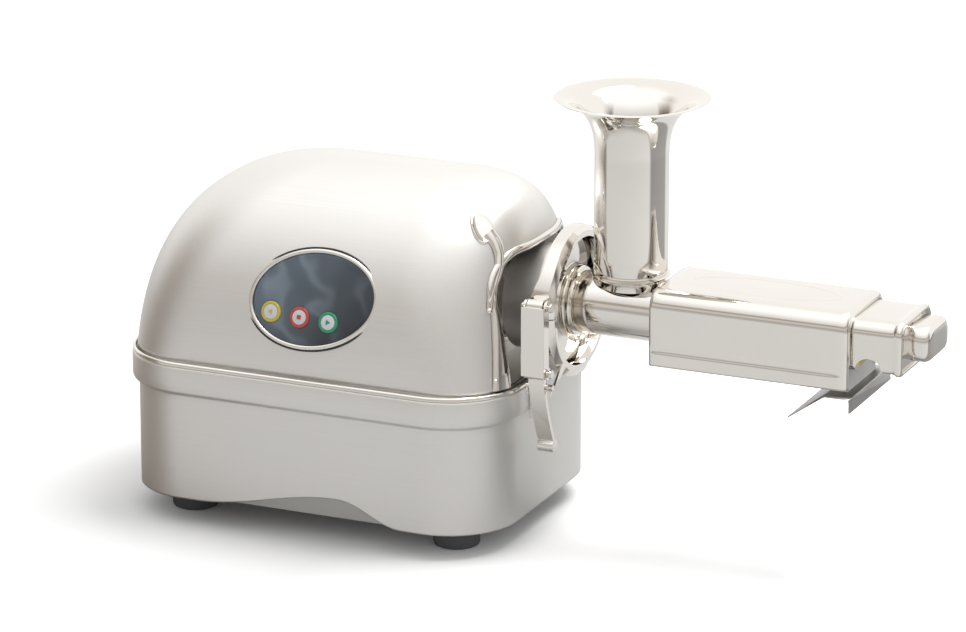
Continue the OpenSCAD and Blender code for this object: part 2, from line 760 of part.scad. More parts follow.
module clamp_ring_lower() color(bright) place() difference() {
    union() {
        difference() {
            clamp_body();
            translate([0, -far / 2, axis_z - gap / 2]) cube(far);
            rod(knuckle_x + 2 - gap, knuckle_l - 4 + 2 * gap, 9 + 2 * gap, hinge_y, axis_z);
        }
        for (x = [clamp_x, knuckle_x + knuckle_l - 2 + gap])
            translate([0, 0, axis_z]) bar_x(x, 5 - gap) {
                translate([hinge_y, 0]) circle(r = 4.5);
                translate([hinge_y - 7, -4.5]) square([7, 4.5 - gap / 2]);
            }
        for (x = [clamp_x, clamp_x + clamp_w - 2])
            translate([0, 0, axis_z]) bar_x(x, 2)
                polygon([[-28.5, -30.5], rest_pin + [4, 0], rest_pin + [-4, -1],
                         rest_pin + [-3, -5], [-24, -34]]);
    }
    rod(clamp_x - 1, clamp_w + 2, pin_d + 2 * fit, hinge_y, axis_z);
    rod(clamp_x - 1, clamp_w + 2, pin_d + 2 * gap, rest_pin[0], axis_z + rest_pin[1]);
}

// A pin along X through the clamp, with a head at the front end
module clamp_pin(y, z) {
    rod(clamp_x - 1.5, clamp_w + 1.9, pin_d, y, axis_z + z);
    rod(clamp_x + clamp_w + gap, 1.6, pin_d + 2, y, axis_z + z);
}

module hinge_pin() color(dark) place() clamp_pin(hinge_y, 0);

module latch_pins() color(dark) place() {
    clamp_pin(-latch_y, latch_up);
    clamp_pin(-latch_y, link_low);
}

module latch_link() color(bright) place() difference() {
    translate([0, 0, axis_z]) union() {
        bar_x(clamp_x + 0.6, clamp_w - 1.2)
            translate([-latch_y - 7, link_low - 1]) square([1.6, link_l + 2]);
        for (x = [clamp_x + 0.6, clamp_x + clamp_w - 2.4])
            bar_x(x, 1.8)
                translate([-latch_y, link_low]) {
                    circle(r = 4);
                    translate([0, link_l]) circle(r = 4);
                    translate([-7, -1]) square([8, link_l + 2]);
                }
    }
    for (z = [link_low, latch_up])
        rod(clamp_x - 1, clamp_w + 2, pin_d + 2 * fit, -latch_y, axis_z + z);
}

module clamp_handle() color(bright) place() {
    bow = [for (k = [0:8]) [-latch_y + 17 * pow(k / 8, 1.6), link_low - handle_l * k / 8]];
    difference() {
        translate([0, 0, axis_z]) bar_x(knuckle_x, knuckle_l) {
            translate([-latch_y, link_low]) circle(r = 4);
            polygon(concat([for (p = bow) p + [-handle_t / 2, 0]],
                           [for (k = [8:-1:0]) bow[k] + [handle_t / 2, 0]]));
            translate(bow[8] + [-1, 0]) circle(r = 4);
            translate(rest_pin - [3, 2.4]) square([3, 4.8]);
        }
        rod(clamp_x - 1, clamp_w + 2, pin_d + 2 * fit, -latch_y, axis_z + link_low);
    }
    rod(clamp_x - 0.5, clamp_w + 1, pin_d, rest_pin[0], axis_z + rest_pin[1]);
}

// ---- Juicing barrel ----
module twin(x, l, r)
    for (s = [-1, 1])
        rod(x, l, 2 * r, s * roller_y, axis_z);

module juicing_barrel() color(bright) place() difference() {
    union() {
        rod(barrel_flange_x, flange_t, flange_d, 0, axis_z);
        rod(collar_x - eps, collar_l + eps, collar_d, 0, axis_z);
        rod(tube_x - eps, barrel_end - tube_x + eps, barrel_d, 0, axis_z);
        translate([feed_x, 0, axis_z]) cylinder(d = 34, h = saddle_h - 2);
        translate([feed_x, 0, axis_z + saddle_h - 2]) cylinder(d = feed_d + 3, h = 2);
    }
    twin(tube_x + 3, far, bore_r);
    twin(0, far / 2, journal_d / 2 + fit);
    translate([feed_x, 0, axis_z]) cylinder(d = 28, h = far);
}

module feed_funnel() color(bright) place() translate([feed_x, 0, 0]) {
    base = axis_z + saddle_h + eps;
    start = funnel_z - flare_h;
    rise = [for (k = [0:10])
               [feed_d / 2 + (funnel_d - feed_d) / 2 * pow(k / 10, 2.4),
                start + flare_h * (1 - pow(1 - k / 10, 1.5))]];
    rotate_extrude($fn = 96)
        polygon(concat([[feed_d / 2, base]], rise,
                       [for (k = [10:-1:0]) rise[k] - [feed_t, -0.01 * k]],
                       [[feed_d / 2 - feed_t, base]]));
}

module screen() color(steel) place() difference() {
    union() {
        twin(barrel_end + eps, screen_end - barrel_end, screen_r);
        translate([barrel_end + eps, -roller_y, axis_z - screen_r])
            cube([screen_end - barrel_end, 2 * roller_y, 2 * screen_r]);
    }
    twin(barrel_end - 1, far, bore_r);
    for (x = [barrel_end + 6:6:screen_end - 8])
        translate([x, -roller_y - 7, axis_z - screen_r - 1]) cube([slot_w, 2 * roller_y + 14, 4.5]);
}

// ---- Rollers ----
// One stage of a roller, wound to the right (turn > 0) or to the left
module stage(x, l, n, add, turn, a) translate([x, 0, axis_z]) rotate([90, 0, 90])
    linear_extrude(l - stage_gap, twist = turn, slices = ceil(abs(turn) / 9))
        rotate(a) polygon(tooth_ring(n, roller_y, add));

module roller(side, tail) translate([0, side * roller_y, 0]) {
    phase = side > 0 ? 180 : 0;
    stage(roll_x, feed_l, feed_teeth, feed_add, side * 150, phase / feed_teeth);
    stage(crush_x, crush_l, crush_teeth, crush_add, side * 80, phase / crush_teeth);
    stage(press_x, press_l, press_teeth, press_add, side * 30, phase / press_teeth);
    rod(tail, box_x + 8 - tail, journal_d, 0, axis_z);
}

module drive_gear() color(bright) place() {
    roller(-1, joint_x - 7);
    translate([drum_x, drive_y, axis_z]) rotate([0, 90, 0])
        cylinder(d = hex_d, h = joint_x - drum_x - 6.5, $fn = 6);
}

module driven_gear() color(bright) place() roller(1, joint_x + 1);

// ---- Juice cover ----
// An inverted tray in Y and Z with rounded upper corners
module hood(w, h, r, z0) translate([0, z0]) {
    square_h = h - r;
    translate([-w / 2, 0]) square([w, square_h]);
    translate([-w / 2 + r, 0]) square([w - 2 * r, h]);
    for (s = [-1, 1])
        translate([s * (w / 2 - r), square_h]) circle(r = r);
}

module juice_cover() color(bright) place() difference() {
    bar_x(cover_x, cover_l) hood(cover_w, cover_h, cover_r, cover_z);
    bar_x(cover_x + cover_t, cover_l - 2 * cover_t)
        hood(cover_w - 2 * cover_t, cover_h - cover_t + 1, cover_r - cover_t, cover_z - 1);
    bar_x(cover_x + 20, cover_l)
        hood(cover_w - 2 * cover_t - 2 * cover_lip, cover_h - cover_t - cover_lip + 1,
             cover_r - cover_t - cover_lip, cover_z - 1);
    bar_x(cover_x - 1, 4) {
        translate([0, axis_z]) circle(d = barrel_d + 2 * gap);
        translate([-barrel_d / 2 - gap, cover_z - 1]) square([barrel_d + 2 * gap, axis_z - cover_z + 1]);
    }
}

// ---- Pulp housing ----
module pulp_housing() color(bright) place() difference() {
    bar_x(box_x, box_end - box_x) hood(pulp_w, pulp_h, 7, pulp_z);
    bar_x(box_x - 1, box_end - box_x + 1 - cover_t)
        hood(pulp_w - 2 * cover_t, pulp_h - cover_t + 1, 7 - cover_t, pulp_z - 1);
    translate([box_x + 15, 0, pulp_z - 1]) rotate([90, 0, 0])
        cylinder(r = outlet_r, h = far, center = true);
}

module roller_bushings() color(brass) place() difference() {
    translate([bushing_x, -pulp_w / 2 + cover_t + eps, axis_z - 10])
        cube([bushing_t, pulp_w - 2 * cover_t - 2 * eps, pulp_z + pulp_h - cover_t - axis_z + 4]);
    twin(0, far, journal_d / 2 + fit);
}

module pulp_nose() color(bright) place() difference() {
    bar_x(box_end + eps, nose_l - eps) translate([0, axis_z - 2]) rounded(nose_w, nose_h, 11);
    bar_x(box_end - 1, nose_l - 1) translate([0, axis_z - 2]) rounded(nose_w - 4, nose_h - 4, 9);
}

module pulp_deflector() color(dark) place() {
    t = 1.2;
    fold_x = box_x - t - eps;
    fold_z = 110;
    c = cos(deflector_a);
    s = sin(deflector_a);
    bar_y(0, deflector_w)
        polygon([[fold_x - 9, fold_z], [fold_x + 6, fold_z], [fold_x + 6, fold_z - 8],
                 [fold_x + 6 + t, fold_z - 8], [fold_x + 6 + t, fold_z + t],
                 [fold_x - 9, fold_z + t],
                 [fold_x - 9 - deflector_l * c, fold_z + t - deflector_l * s],
                 [fold_x - 9 - deflector_l * c, fold_z - deflector_l * s]]);
    bar_y(0, pulp_w - 2)
        translate([fold_x, fold_z + t / 2]) square([t, pulp_z + 12 - fold_z]);
}

lower_body();
rim_trim();
base_tray();
feet();
foot_screws();
top_dome();
side_straps();
strap_pins();
end_plate();
end_plate_screws();
panel_bezel();
panel_face();
reverse_button();
stop_button();
start_button();
button_switches();
control_board();
power_inlet();
motor_casing();
motor_cradle();
motor_stator();
motor_rotor();
cooling_fan();
motor_pinion();
gearbox_case();
gearbox_lid();
bearings();
reduction_shaft();
reduction_wheel();
output_gear();
output_shaft();
hub_neck();
mouth_cup();
rear_ring();
hub_drum();
clamp_ring_lower();
clamp_ring_upper();
hinge_pin();
latch_link();
latch_pins();
clamp_handle();
juicing_barrel();
feed_funnel();
screen();
drive_gear();
driven_gear();
juice_cover();
pulp_housing();
roller_bushings();
pulp_nose();
pulp_deflector();
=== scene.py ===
"""Looks for a horizontal twin-roller juicer, dressed over its fixed frame of solids."""
import json
from math import cos, pi, radians, sin, tau

import bmesh
import bpy
from bpy.props import FloatProperty, FloatVectorProperty, PointerProperty
from mathutils import Matrix, Vector


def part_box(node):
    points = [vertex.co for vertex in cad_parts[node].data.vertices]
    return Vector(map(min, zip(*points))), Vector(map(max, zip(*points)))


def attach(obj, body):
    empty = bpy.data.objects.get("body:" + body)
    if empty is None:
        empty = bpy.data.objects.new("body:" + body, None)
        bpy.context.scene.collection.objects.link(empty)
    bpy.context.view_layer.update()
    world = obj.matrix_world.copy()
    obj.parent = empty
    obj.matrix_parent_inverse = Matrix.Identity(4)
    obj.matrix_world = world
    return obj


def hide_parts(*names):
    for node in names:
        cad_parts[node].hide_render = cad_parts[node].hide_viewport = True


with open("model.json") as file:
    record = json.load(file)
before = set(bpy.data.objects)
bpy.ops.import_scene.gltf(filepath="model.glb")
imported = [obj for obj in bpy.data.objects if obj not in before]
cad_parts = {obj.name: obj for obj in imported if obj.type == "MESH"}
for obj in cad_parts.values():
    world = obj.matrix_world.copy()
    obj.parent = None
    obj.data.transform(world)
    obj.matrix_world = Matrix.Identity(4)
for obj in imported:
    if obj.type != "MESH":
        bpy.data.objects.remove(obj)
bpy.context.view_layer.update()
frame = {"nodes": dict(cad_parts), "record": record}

bl_info = {
    "name": "Twin-roller juicer",
    "version": (1, 0, 0),
    "blender": (4, 5, 0),
    "location": "3D View > Sidebar > Juicer",
    "description": "Dresses a horizontal twin-roller juicer in steel, rubber and plastic",
    "category": "Object",
}

MM = 0.001
NODES = frame["nodes"]


def low(node):
    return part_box(node)[0]


def high(node):
    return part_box(node)[1]


def middle(node):
    a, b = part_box(node)
    return (a + b) / 2


# Places read from the frame
HOUSE_MID = middle("lower_body").x
AXIS_Z = middle("hub_drum").z
FEED_X = middle("feed_funnel").x


# ---------------------------------------------------------------- settings
def colour(name, text, value):
    return FloatVectorProperty(name=name, description=text, default=value, size=3,
                               subtype="COLOR", min=0, max=1)


def length(name, text, value):
    return FloatProperty(name=name, description=text, default=value, min=0,
                         subtype="DISTANCE", unit="LENGTH")


class JuicerSizes(bpy.types.PropertyGroup):
    sheet: length("Housing sheet", "Wall of the dome and the lower housing", 1.5 * MM)
    arch: length("Arch rise", "How far the housing's lower edge rises at its arch", 14 * MM)
    neck: length("Funnel neck", "Radius of the feed tube", 22.3 * MM)
    flare: length("Funnel flare", "Height over which the feed tube widens", 36 * MM)
    cover: length("Cover sheet", "Wall of the juice cover", 1.2 * MM)
    groove: length("Cover groove", "Depth of the groove along the cover's sides", 0.8 * MM)
    outlet: length("Outlet", "Radius of the pulp box's half-round outlets", 8.5 * MM)
    pin: length("Pin", "Radius of the pins beside the mouth", 1.7 * MM)


class JuicerSteel(bpy.types.PropertyGroup):
    satin: colour("Satin steel", "Brushed sheet of the housing", (0.80, 0.783, 0.756))
    mirror: colour("Mirror steel", "Polished barrel, clamp and covers", (0.84, 0.805, 0.755))
    flap: colour("Flap steel", "Bent sheet of the deflector", (0.50, 0.49, 0.48))
    satin_rough: FloatProperty(name="Satin roughness", default=0.44, min=0, max=1,
                               description="How soft the housing's reflections are")
    mirror_rough: FloatProperty(name="Mirror roughness", default=0.075, min=0, max=1,
                                description="How soft the polished pieces' reflections are")


class JuicerPanel(bpy.types.PropertyGroup):
    field: colour("Field", "Slate blue side of the panel", (0.13, 0.17, 0.21))
    shade: colour("Shade", "Near-black side of the panel", (0.012, 0.014, 0.018))
    motif: colour("Motif", "Curved bands over the field", (0.28, 0.33, 0.38))
    yellow: colour("Yellow ring", "Ring of the reverse button", (0.55, 0.46, 0.05))
    red: colour("Red ring", "Ring of the stop button", (0.52, 0.06, 0.04))
    green: colour("Green ring", "Ring of the start button", (0.02, 0.27, 0.13))
    cap: colour("Cap", "Pale cap of every button", (0.62, 0.62, 0.66))


class JuicerStage(bpy.types.PropertyGroup):
    floor: colour("Floor", "Pale floor under the juicer", (0.97, 0.97, 0.97))
    key: FloatProperty(name="Key light", default=25, unit="POWER", min=0,
                       description="Large lamp above the right of the barrel")
    sky: FloatProperty(name="Room light", default=0.60, min=0,
                       description="How bright the room lights the floor")


def settings(group):
    return getattr(bpy.context.scene, group)


# ---------------------------------------------------------------- shader helpers
OBJECT_COORDINATES = 3
DIFFUSE_RAY = 2


class Wire:
    """A shader socket that takes part in Python arithmetic."""

    def __init__(self, nodes, socket):
        self.nodes = nodes
        self.socket = socket

    def math(self, operation, *others):
        node = self.nodes.tree.nodes.new("ShaderNodeMath")
        node.operation = operation
        for slot, value in zip(node.inputs, (self,) + others):
            self.nodes.feed(slot, value)
        return Wire(self.nodes, node.outputs[0])

    def within(self, least, most):
        return self.math("MAXIMUM", least).math("MINIMUM", most)

    def __add__(self, other):
        return self.math("ADD", other)

    def __sub__(self, other):
        return self.math("SUBTRACT", other)

    def __mul__(self, other):
        return self.math("MULTIPLY", other)

    def __rsub__(self, other):
        return self.math("MULTIPLY", -1).math("ADD", other)

    __radd__ = __add__
    __rmul__ = __mul__


class Nodes:
    """A node tree that grows by a call for each node."""

    def __init__(self, tree):
        self.tree = tree

    def feed(self, slot, value):
        if isinstance(value, Wire):
            self.tree.links.new(value.socket, slot)
        elif slot.type == "RGBA" and len(value) == 3:
            slot.default_value = (*value, 1)
        else:
            slot.default_value = value

    def add(self, kind, setting=None, stops=None, out=0, **values):
        node = self.tree.nodes.new("ShaderNode" + kind)
        for key, value in (setting or {}).items():
            setattr(node, key, value)
        if stops:
            ramp = node.color_ramp.elements
            while len(ramp) < len(stops):
                ramp.new(0.5)
            for element, (place, tone) in zip(ramp, stops):
                element.position = place
                element.color = (tone,) * 3 + (1,) if isinstance(tone, float) else (*tone, 1)
        for key, value in values.items():
            self.feed(node.inputs[int(key[1:]) if key[0] == "_" else key], value)
        return Wire(self, node.outputs[out])

    def share(self, vector, axis):
        return self.add("SeparateXYZ", out="xyz".index(axis), Vector=vector)

    def place(self, scale, turn=(0, 0, 0)):
        at = self.add("TexCoord", out=OBJECT_COORDINATES)
        return self.add("Mapping", Vector=at, Scale=scale, Rotation=turn)

    def grain(self, scale, detail=2.0, turn=(0, 0, 0)):
        return self.add("TexNoise", Vector=self.place(scale, turn), Scale=1.0, Detail=detail)

    def blend(self, factor, first, second, kind="MIX"):
        # A Mix node's colours are its inputs 6 and 7 and its output 2
        return self.add("Mix", {"data_type": "RGBA", "blend_type": kind}, out=2,
                        _0=factor, _6=first, _7=second)

    def multiply(self, first, second):
        return self.blend(1.0, first, second, "MULTIPLY")


class Finish(Nodes):
    """A material under construction."""

    def __init__(self, name, **constants):
        self.material = bpy.data.materials.new(name)
        self.material.use_nodes = True
        super().__init__(self.material.node_tree)
        self.shader = self.tree.nodes["Principled BSDF"]
        for key, value in constants.items():
            self.shader.inputs[key.replace("_", " ").title()].default_value = value

    def colour(self, value):
        self.feed(self.shader.inputs["Base Color"], value)

    def mottle(self, mask, tone, darkest, lightest):
        """Base colour that wanders between two shades of a tone."""
        self.colour(self.blend(mask, scaled(tone, darkest), scaled(tone, lightest)))

    def wear(self, rough, fine, fine_reach, broad, broad_reach):
        """Roughness that a fine and a broad noise move to either side of a mean."""
        least = rough - (fine_reach + broad_reach) / 2
        self.feed(self.shader.inputs["Roughness"],
                  fine * fine_reach + broad * broad_reach + least)

    def bump(self, height, distance, strength):
        wire = self.add("Bump", Height=height, Distance=distance, Strength=strength)
        self.feed(self.shader.inputs["Normal"], wire)


def scaled(tone, factor):
    return tuple(c * factor for c in tone)


def satin_steel(name, tint=1.0):
    """Sheet brushed along X."""
    steel = settings("juicer_steel")
    finish = Finish(name, metallic=1.0)
    lines = finish.grain((6, 900, 900), 3.0)
    cloud = finish.grain((9, 9, 9))
    finish.mottle(lines * 0.6 + cloud * 0.4, scaled(steel.satin, tint), 0.93, 1.05)
    finish.wear(steel.satin_rough, lines, 0.10, cloud, 0.05)
    finish.bump(lines, 0.02 * MM, 0.35)
    return finish.material


def mirror_steel(name, rough, tint=1.0):
    """Polished steel with faint wiping marks and hairlines."""
    finish = Finish(name, metallic=1.0)
    wipe = finish.grain((40, 40, 40), 3.0)
    hair = finish.grain((30, 1400, 1400), turn=(0.3, 0.2, 0.6))
    finish.mottle(wipe, scaled(settings("juicer_steel").mirror, tint), 0.97, 1.02)
    finish.wear(rough, wipe, 0.03, hair, 0.02)
    finish.bump(wipe, 0.06 * MM, 0.10)
    return finish.material


def machined_steel(name, tone, rough):
    """Turned or cast metal with fine tool lines."""
    finish = Finish(name, metallic=1.0)
    lines = finish.grain((700, 60, 60))
    cloud = finish.grain((60, 60, 60), 3.0)
    finish.mottle(cloud, tone, 0.88, 1.08)
    finish.wear(rough, lines, 0.14, cloud, 0.08)
    finish.bump(lines, 0.03 * MM, 0.4)
    return finish.material


def moulded(name, tone, rough, fineness=900, coat=0.0):
    """Plastic or rubber with a pebbled skin."""
    finish = Finish(name, coat_weight=coat)
    pebble = finish.grain((fineness,) * 3)
    cloud = finish.grain((50, 50, 50))
    finish.mottle(cloud, tone, 0.88, 1.10)
    finish.wear(rough, pebble, 0.10, cloud, 0.06)
    finish.bump(pebble, 0.04 * MM, 0.5)
    return finish.material


def circuit_board(name):
    """Green board with paler tracks."""
    finish = Finish(name, coat_weight=0.3)
    track = finish.add("TexVoronoi", {"feature": "DISTANCE_TO_EDGE"},
                       Vector=finish.place((220, 220, 220)), Scale=1.0)
    line = track.math("LESS_THAN", 0.06)
    finish.colour(finish.blend(line, (0.02, 0.13, 0.06), (0.10, 0.30, 0.12)))
    finish.feed(finish.shader.inputs["Roughness"], line * -0.15 + 0.45)
    return finish.material


def panel_print(name):
    """Slate field that fades to near black, with broad curved bands."""
    tones = settings("juicer_panel")
    finish = Finish(name, roughness=0.30, coat_weight=0.2)
    at = finish.add("VectorMath", {"operation": "SUBTRACT"},
                    _0=finish.add("TexCoord", out=OBJECT_COORDINATES),
                    _1=tuple(middle("panel_face")))
    x, z = finish.share(at, "x"), finish.share(at, "z")
    warp = finish.add("TexNoise", Vector=at, Scale=38.0, Detail=1.0)
    side = (x * -11 + z * 9 + warp * 0.5 + 0.25).within(0, 1)
    field = finish.blend(side, tuple(tones.shade), tuple(tones.field))
    waves = ((x * 190 + z * 120 + warp * 13).math("SINE") * 0.5 + 0.5).math("POWER", 5)
    finish.colour(finish.blend(waves * 0.55 * side, field, tuple(tones.motif)))
    return finish.material


MATERIALS = {}


def material(name):
    """The finish of that name, made when it is first asked for."""
    steel, panel = settings("juicer_steel"), settings("juicer_panel")
    recipes = {
        "satin_sheet": (satin_steel,),
        # Satin sheet darkened to 0.6: painted shade for the tray under the housing
        "shaded_sheet": (satin_steel, 0.6),
        "mirror_sheet": (mirror_steel, steel.mirror_rough),
        "mirror_soft": (mirror_steel, 0.145),
        "bezel_silver": (mirror_steel, 0.225, 0.98),
        "flap_sheet": (machined_steel, steel.flap, 0.32),
        "gear_metal": (machined_steel, (0.60, 0.60, 0.61), 0.28),
        "cast_metal": (machined_steel, (0.50, 0.50, 0.51), 0.55),
        "core_metal": (machined_steel, (0.22, 0.20, 0.19), 0.50),
        "brass_metal": (machined_steel, (0.66, 0.49, 0.22), 0.26),
        "black_rubber": (moulded, (0.10, 0.105, 0.112), 0.62, 1400),
        "black_plastic": (moulded, (0.03, 0.03, 0.033), 0.50),
        "button_cap": (moulded, panel.cap, 0.3, 1200, 0.3),
        "board_green": (circuit_board,),
        "panel_print": (panel_print,),
    }
    for tone in BUTTONS.values():
        recipes["collar_" + tone] = (moulded, getattr(panel, tone), 0.3, 1200, 0.4)
    if name not in MATERIALS:
        make, *values = recipes[name]
        MATERIALS[name] = make(name, *values)
    return MATERIALS[name]


# ---------------------------------------------------------------- mesh helpers
WELD = 0.002 * MM
FLAT_WITHIN = radians(0.6)
BEVEL_FROM = radians(35)
CARVED_EDGE = radians(40)


def finish_piece(name, bm, body, slot, finish, replaces=(), bevel=0, solid=0, sharp=30,
                 normals=True, merge=1e-6):
    """Turns a bmesh into a piece that rides a body and takes a finish."""
    if merge:
        bmesh.ops.remove_doubles(bm, verts=bm.verts, dist=merge)
    if normals:
        bmesh.ops.recalc_face_normals(bm, faces=bm.faces)
    mesh = bpy.data.meshes.new(name)
    bm.to_mesh(mesh)
    bm.free()
    piece = bpy.data.objects.new(name, mesh)
    bpy.context.scene.collection.objects.link(piece)
    mesh.materials.append(material(finish))
    if solid:
        wall = piece.modifiers.new("wall", "SOLIDIFY")
        wall.thickness = solid
        wall.offset = -1
        wall.use_even_offset = True
    if bevel:
        edge = piece.modifiers.new("edges", "BEVEL")
        edge.width = bevel
        edge.segments = 3
        edge.limit_method = "ANGLE"
        edge.angle_limit = BEVEL_FROM
    mesh.shade_smooth()
    mesh.set_sharp_from_angle(angle=radians(sharp))
    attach(piece, body)
    if replaces:
        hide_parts(*replaces)
    return piece


def polished(name, bm, replaces=(), body="housing", sharp=50, **more):
    """A mirror-bright piece of sheet."""
    return finish_piece(name, bm, body, "polished", "mirror_sheet", replaces, sharp=sharp, **more)


def soften(name, node, body, slot, finish, bevel, shape=None):
    """A copy of a solid, cleaned, reshaped and given soft edges, that stands for it."""
    bm = bmesh.new()
    bm.from_mesh(NODES[node].data)
    bmesh.ops.remove_doubles(bm, verts=bm.verts, dist=WELD)
    bmesh.ops.dissolve_limit(bm, angle_limit=FLAT_WITHIN, verts=bm.verts, edges=bm.edges)
    if shape:
        bmesh.ops.triangulate(bm, faces=bm.faces)
        for vert in bm.verts:
            vert.co = shape(vert.co)
    finish_piece(name, bm, body, slot, finish, [node], bevel=bevel * MM, sharp=40,
                 normals=False, merge=0)


def carve(piece, bm, shade=True):
    """Cuts a closed shape out of a piece; shade keeps the smooth shading of the whole piece."""
    bmesh.ops.recalc_face_normals(bm, faces=bm.faces)
    mesh = bpy.data.meshes.new("cutter")
    bm.to_mesh(mesh)
    bm.free()
    cutter = bpy.data.objects.new("cutter", mesh)
    whole = piece.copy()
    for helper in (cutter, whole):
        bpy.context.scene.collection.objects.link(helper)
    cut = piece.modifiers.new("cut", "BOOLEAN")
    cut.operation = "DIFFERENCE"
    cut.solver = "EXACT"
    cut.object = cutter
    if shade:
        normals = piece.modifiers.new("shade", "DATA_TRANSFER")
        normals.object = whole
        normals.use_loop_data = True
        normals.data_types_loops = {"CUSTOM_NORMAL"}
        normals.loop_mapping = "POLYINTERP_NEAREST"
    bpy.context.view_layer.update()
    cut_mesh = bpy.data.meshes.new_from_object(
        piece.evaluated_get(bpy.context.evaluated_depsgraph_get()))
    piece.modifiers.clear()
    piece.data = cut_mesh
    if not shade:
        cut_mesh.set_sharp_from_angle(angle=CARVED_EDGE)
    for helper in (cutter, whole):
        bpy.data.objects.remove(helper)


def arc(centre, radius, start, end, steps):
    return [(centre[0] + radius * cos(start + (end - start) * k / steps),
             centre[1] + radius * sin(start + (end - start) * k / steps))
            for k in range(steps + 1)]


def oblong(left, right, half, radius, z, centre=0, corner=20, long=24, short=8):
    """Rounded oblong about X = centre, from its right side round to the far side and on."""
    points = []
    corners = ((right - radius, half - radius), (radius - left, half - radius),
               (radius - left, radius - half), (right - radius, radius - half))
    for quarter, cuts in enumerate((long, short, long, short)):
        away = (quarter + 1) * pi / 2
        points += arc(corners[quarter], radius, away - pi / 2, away, corner)
        rim = Vector((radius * cos(away), radius * sin(away)))
        start, end = (Vector(corners[k % 4]) + rim for k in (quarter, quarter + 1))
        points += [start.lerp(end, k / cuts) for k in range(1, cuts)]
    return [Vector((x + centre, y, z)) for x, y in points]


def hood(width, height, radius, base, steps=10):
    """Outline in Y and Z with round top corners, open at the bottom."""
    left, right = radius - width / 2, width / 2 - radius
    return ([(-width / 2, base)]
            + arc((left, base + height - radius), radius, pi, pi / 2, steps)
            + arc((right, base + height - radius), radius, pi / 2, 0, steps)
            + [(width / 2, base)])


def loft(bm, rings, closed=True, cap=""):
    """Joins chains of equal length into a skin; cap names the ends to fill: s, e or se."""
    ring = bmesh.ops.create_circle(bm, segments=len(rings[0]), radius=1)["verts"]
    if not closed:
        bm.edges.remove(bm.edges.get((ring[-1], ring[0])))
    edges = list({e for v in ring for e in v.link_edges})
    if "s" in cap:
        bmesh.ops.contextual_create(bm, geom=edges)
    for k, points in enumerate(rings):
        if k:
            made = bmesh.ops.extrude_edge_only(bm, edges=edges)["geom"]
            edges = [g for g in made if isinstance(g, bmesh.types.BMEdge)]
            ring = [g for g in made if isinstance(g, bmesh.types.BMVert)]
        for vert, point in zip(ring, points):
            vert.co = point
    if "e" in cap:
        bmesh.ops.contextual_create(bm, geom=edges)


def lathe(bm, profile, axis, centre=(0, 0, 0), steps=96):
    """Spins a chain of (distance along the axis, radius) millimetres into a closed shell."""
    along = {"x": Vector((1, 0, 0)), "z": Vector((0, 0, 1))}[axis]
    out = {"x": Vector((0, 0, 1)), "z": Vector((1, 0, 0))}[axis]
    start = len(bm.verts)
    chain = [bm.verts.new(Vector(centre) + along * a * MM + out * r * MM) for a, r in profile]
    edges = [bm.edges.new(pair) for pair in zip(chain, chain[1:])]
    bmesh.ops.spin(bm, geom=chain + edges, cent=centre, axis=along, angle=tau, steps=steps,
                   use_merge=True, use_duplicate=False)
    bm.verts.ensure_lookup_table()
    bmesh.ops.remove_doubles(bm, verts=bm.verts[start:], dist=1e-7)


def prism(bm, outline, axis, start, depth):
    """Draws a flat outline out along an axis; the outline's points are in the other two."""
    turn = {"x": lambda a, b: (start, a, b), "z": lambda a, b: (a, b, start)}[axis]
    face = bm.faces.new([bm.verts.new(turn(*p)) for p in outline])
    made = bmesh.ops.extrude_face_region(bm, geom=[face])
    verts = [g for g in made["geom"] if isinstance(g, bmesh.types.BMVert)]
    bmesh.ops.translate(bm, vec=[depth if a == axis else 0 for a in "xyz"], verts=verts)


class Maker(bpy.types.Operator):
    """Shared by the operators that make pieces"""
    bl_idname = "juicer.maker"
    bl_label = "Make a piece"
    bl_options = {"INTERNAL"}

    def execute(self, context):
        self.make()
        return {"FINISHED"}


# ---------------------------------------------------------------- housing
BAND_LOW = 83 * MM
BAND_PROUD = 4
BODY_CORNER = 48 * MM
ARCH_CROWN = 25 * MM
ARCH_LEFT = 95 * MM
ARCH_RIGHT = 43 * MM
ARCH_FADE = 40 * MM


class MakeLowerBody(Maker):
    """Lower housing: wall, proud rim band and ledge, with the arch in its lower edge"""
    bl_idname = "juicer.lower_body"
    bl_label = "Lower housing"

    def make(self):
        a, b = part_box("lower_body")
        size = (b - a) / 2
        rise = settings("juicer_sizes").arch
        profile = [(a.z + up * MM, BAND_PROUD) for up in (0, 1, 10, 25)]
        profile += [(BAND_LOW + up * MM, inward) for up, inward in
                    ((-6, BAND_PROUD), (-1.6, BAND_PROUD), (-0.6, 3.7), (0, 2.9), (0.5, 1.6),
                     (1.3, 0.5), (2.6, 0), (9, 0))]
        profile += [(b.z - down * MM, inward) for down, inward in
                    ((2.4, 0), (1.1, 0.3), (0.3, 1.0), (0, 2.0), (0, 9.0))]
        rings = []
        for z, inward in profile:
            d = inward * MM
            ring = oblong(size.x - d, size.x - d, size.y - d, BODY_CORNER - d, z, HOUSE_MID,
                          long=60)
            share = max(0, 1 - (z - a.z) / ARCH_FADE)
            for point in ring:
                t = point.x - HOUSE_MID - ARCH_CROWN
                t /= ARCH_LEFT if t < 0 else ARCH_RIGHT
                if abs(t) < 1 and abs(point.y) > size.y - 2 * BAND_PROUD * MM:
                    point.z += rise * share * (1 + cos(pi * t)) / 2
            rings.append(ring)
        bm = bmesh.new()
        loft(bm, rings)
        finish_piece("housing_shell", bm, "housing", "brushed", "satin_sheet",
                     ["lower_body"], solid=settings("juicer_sizes").sheet, sharp=60)


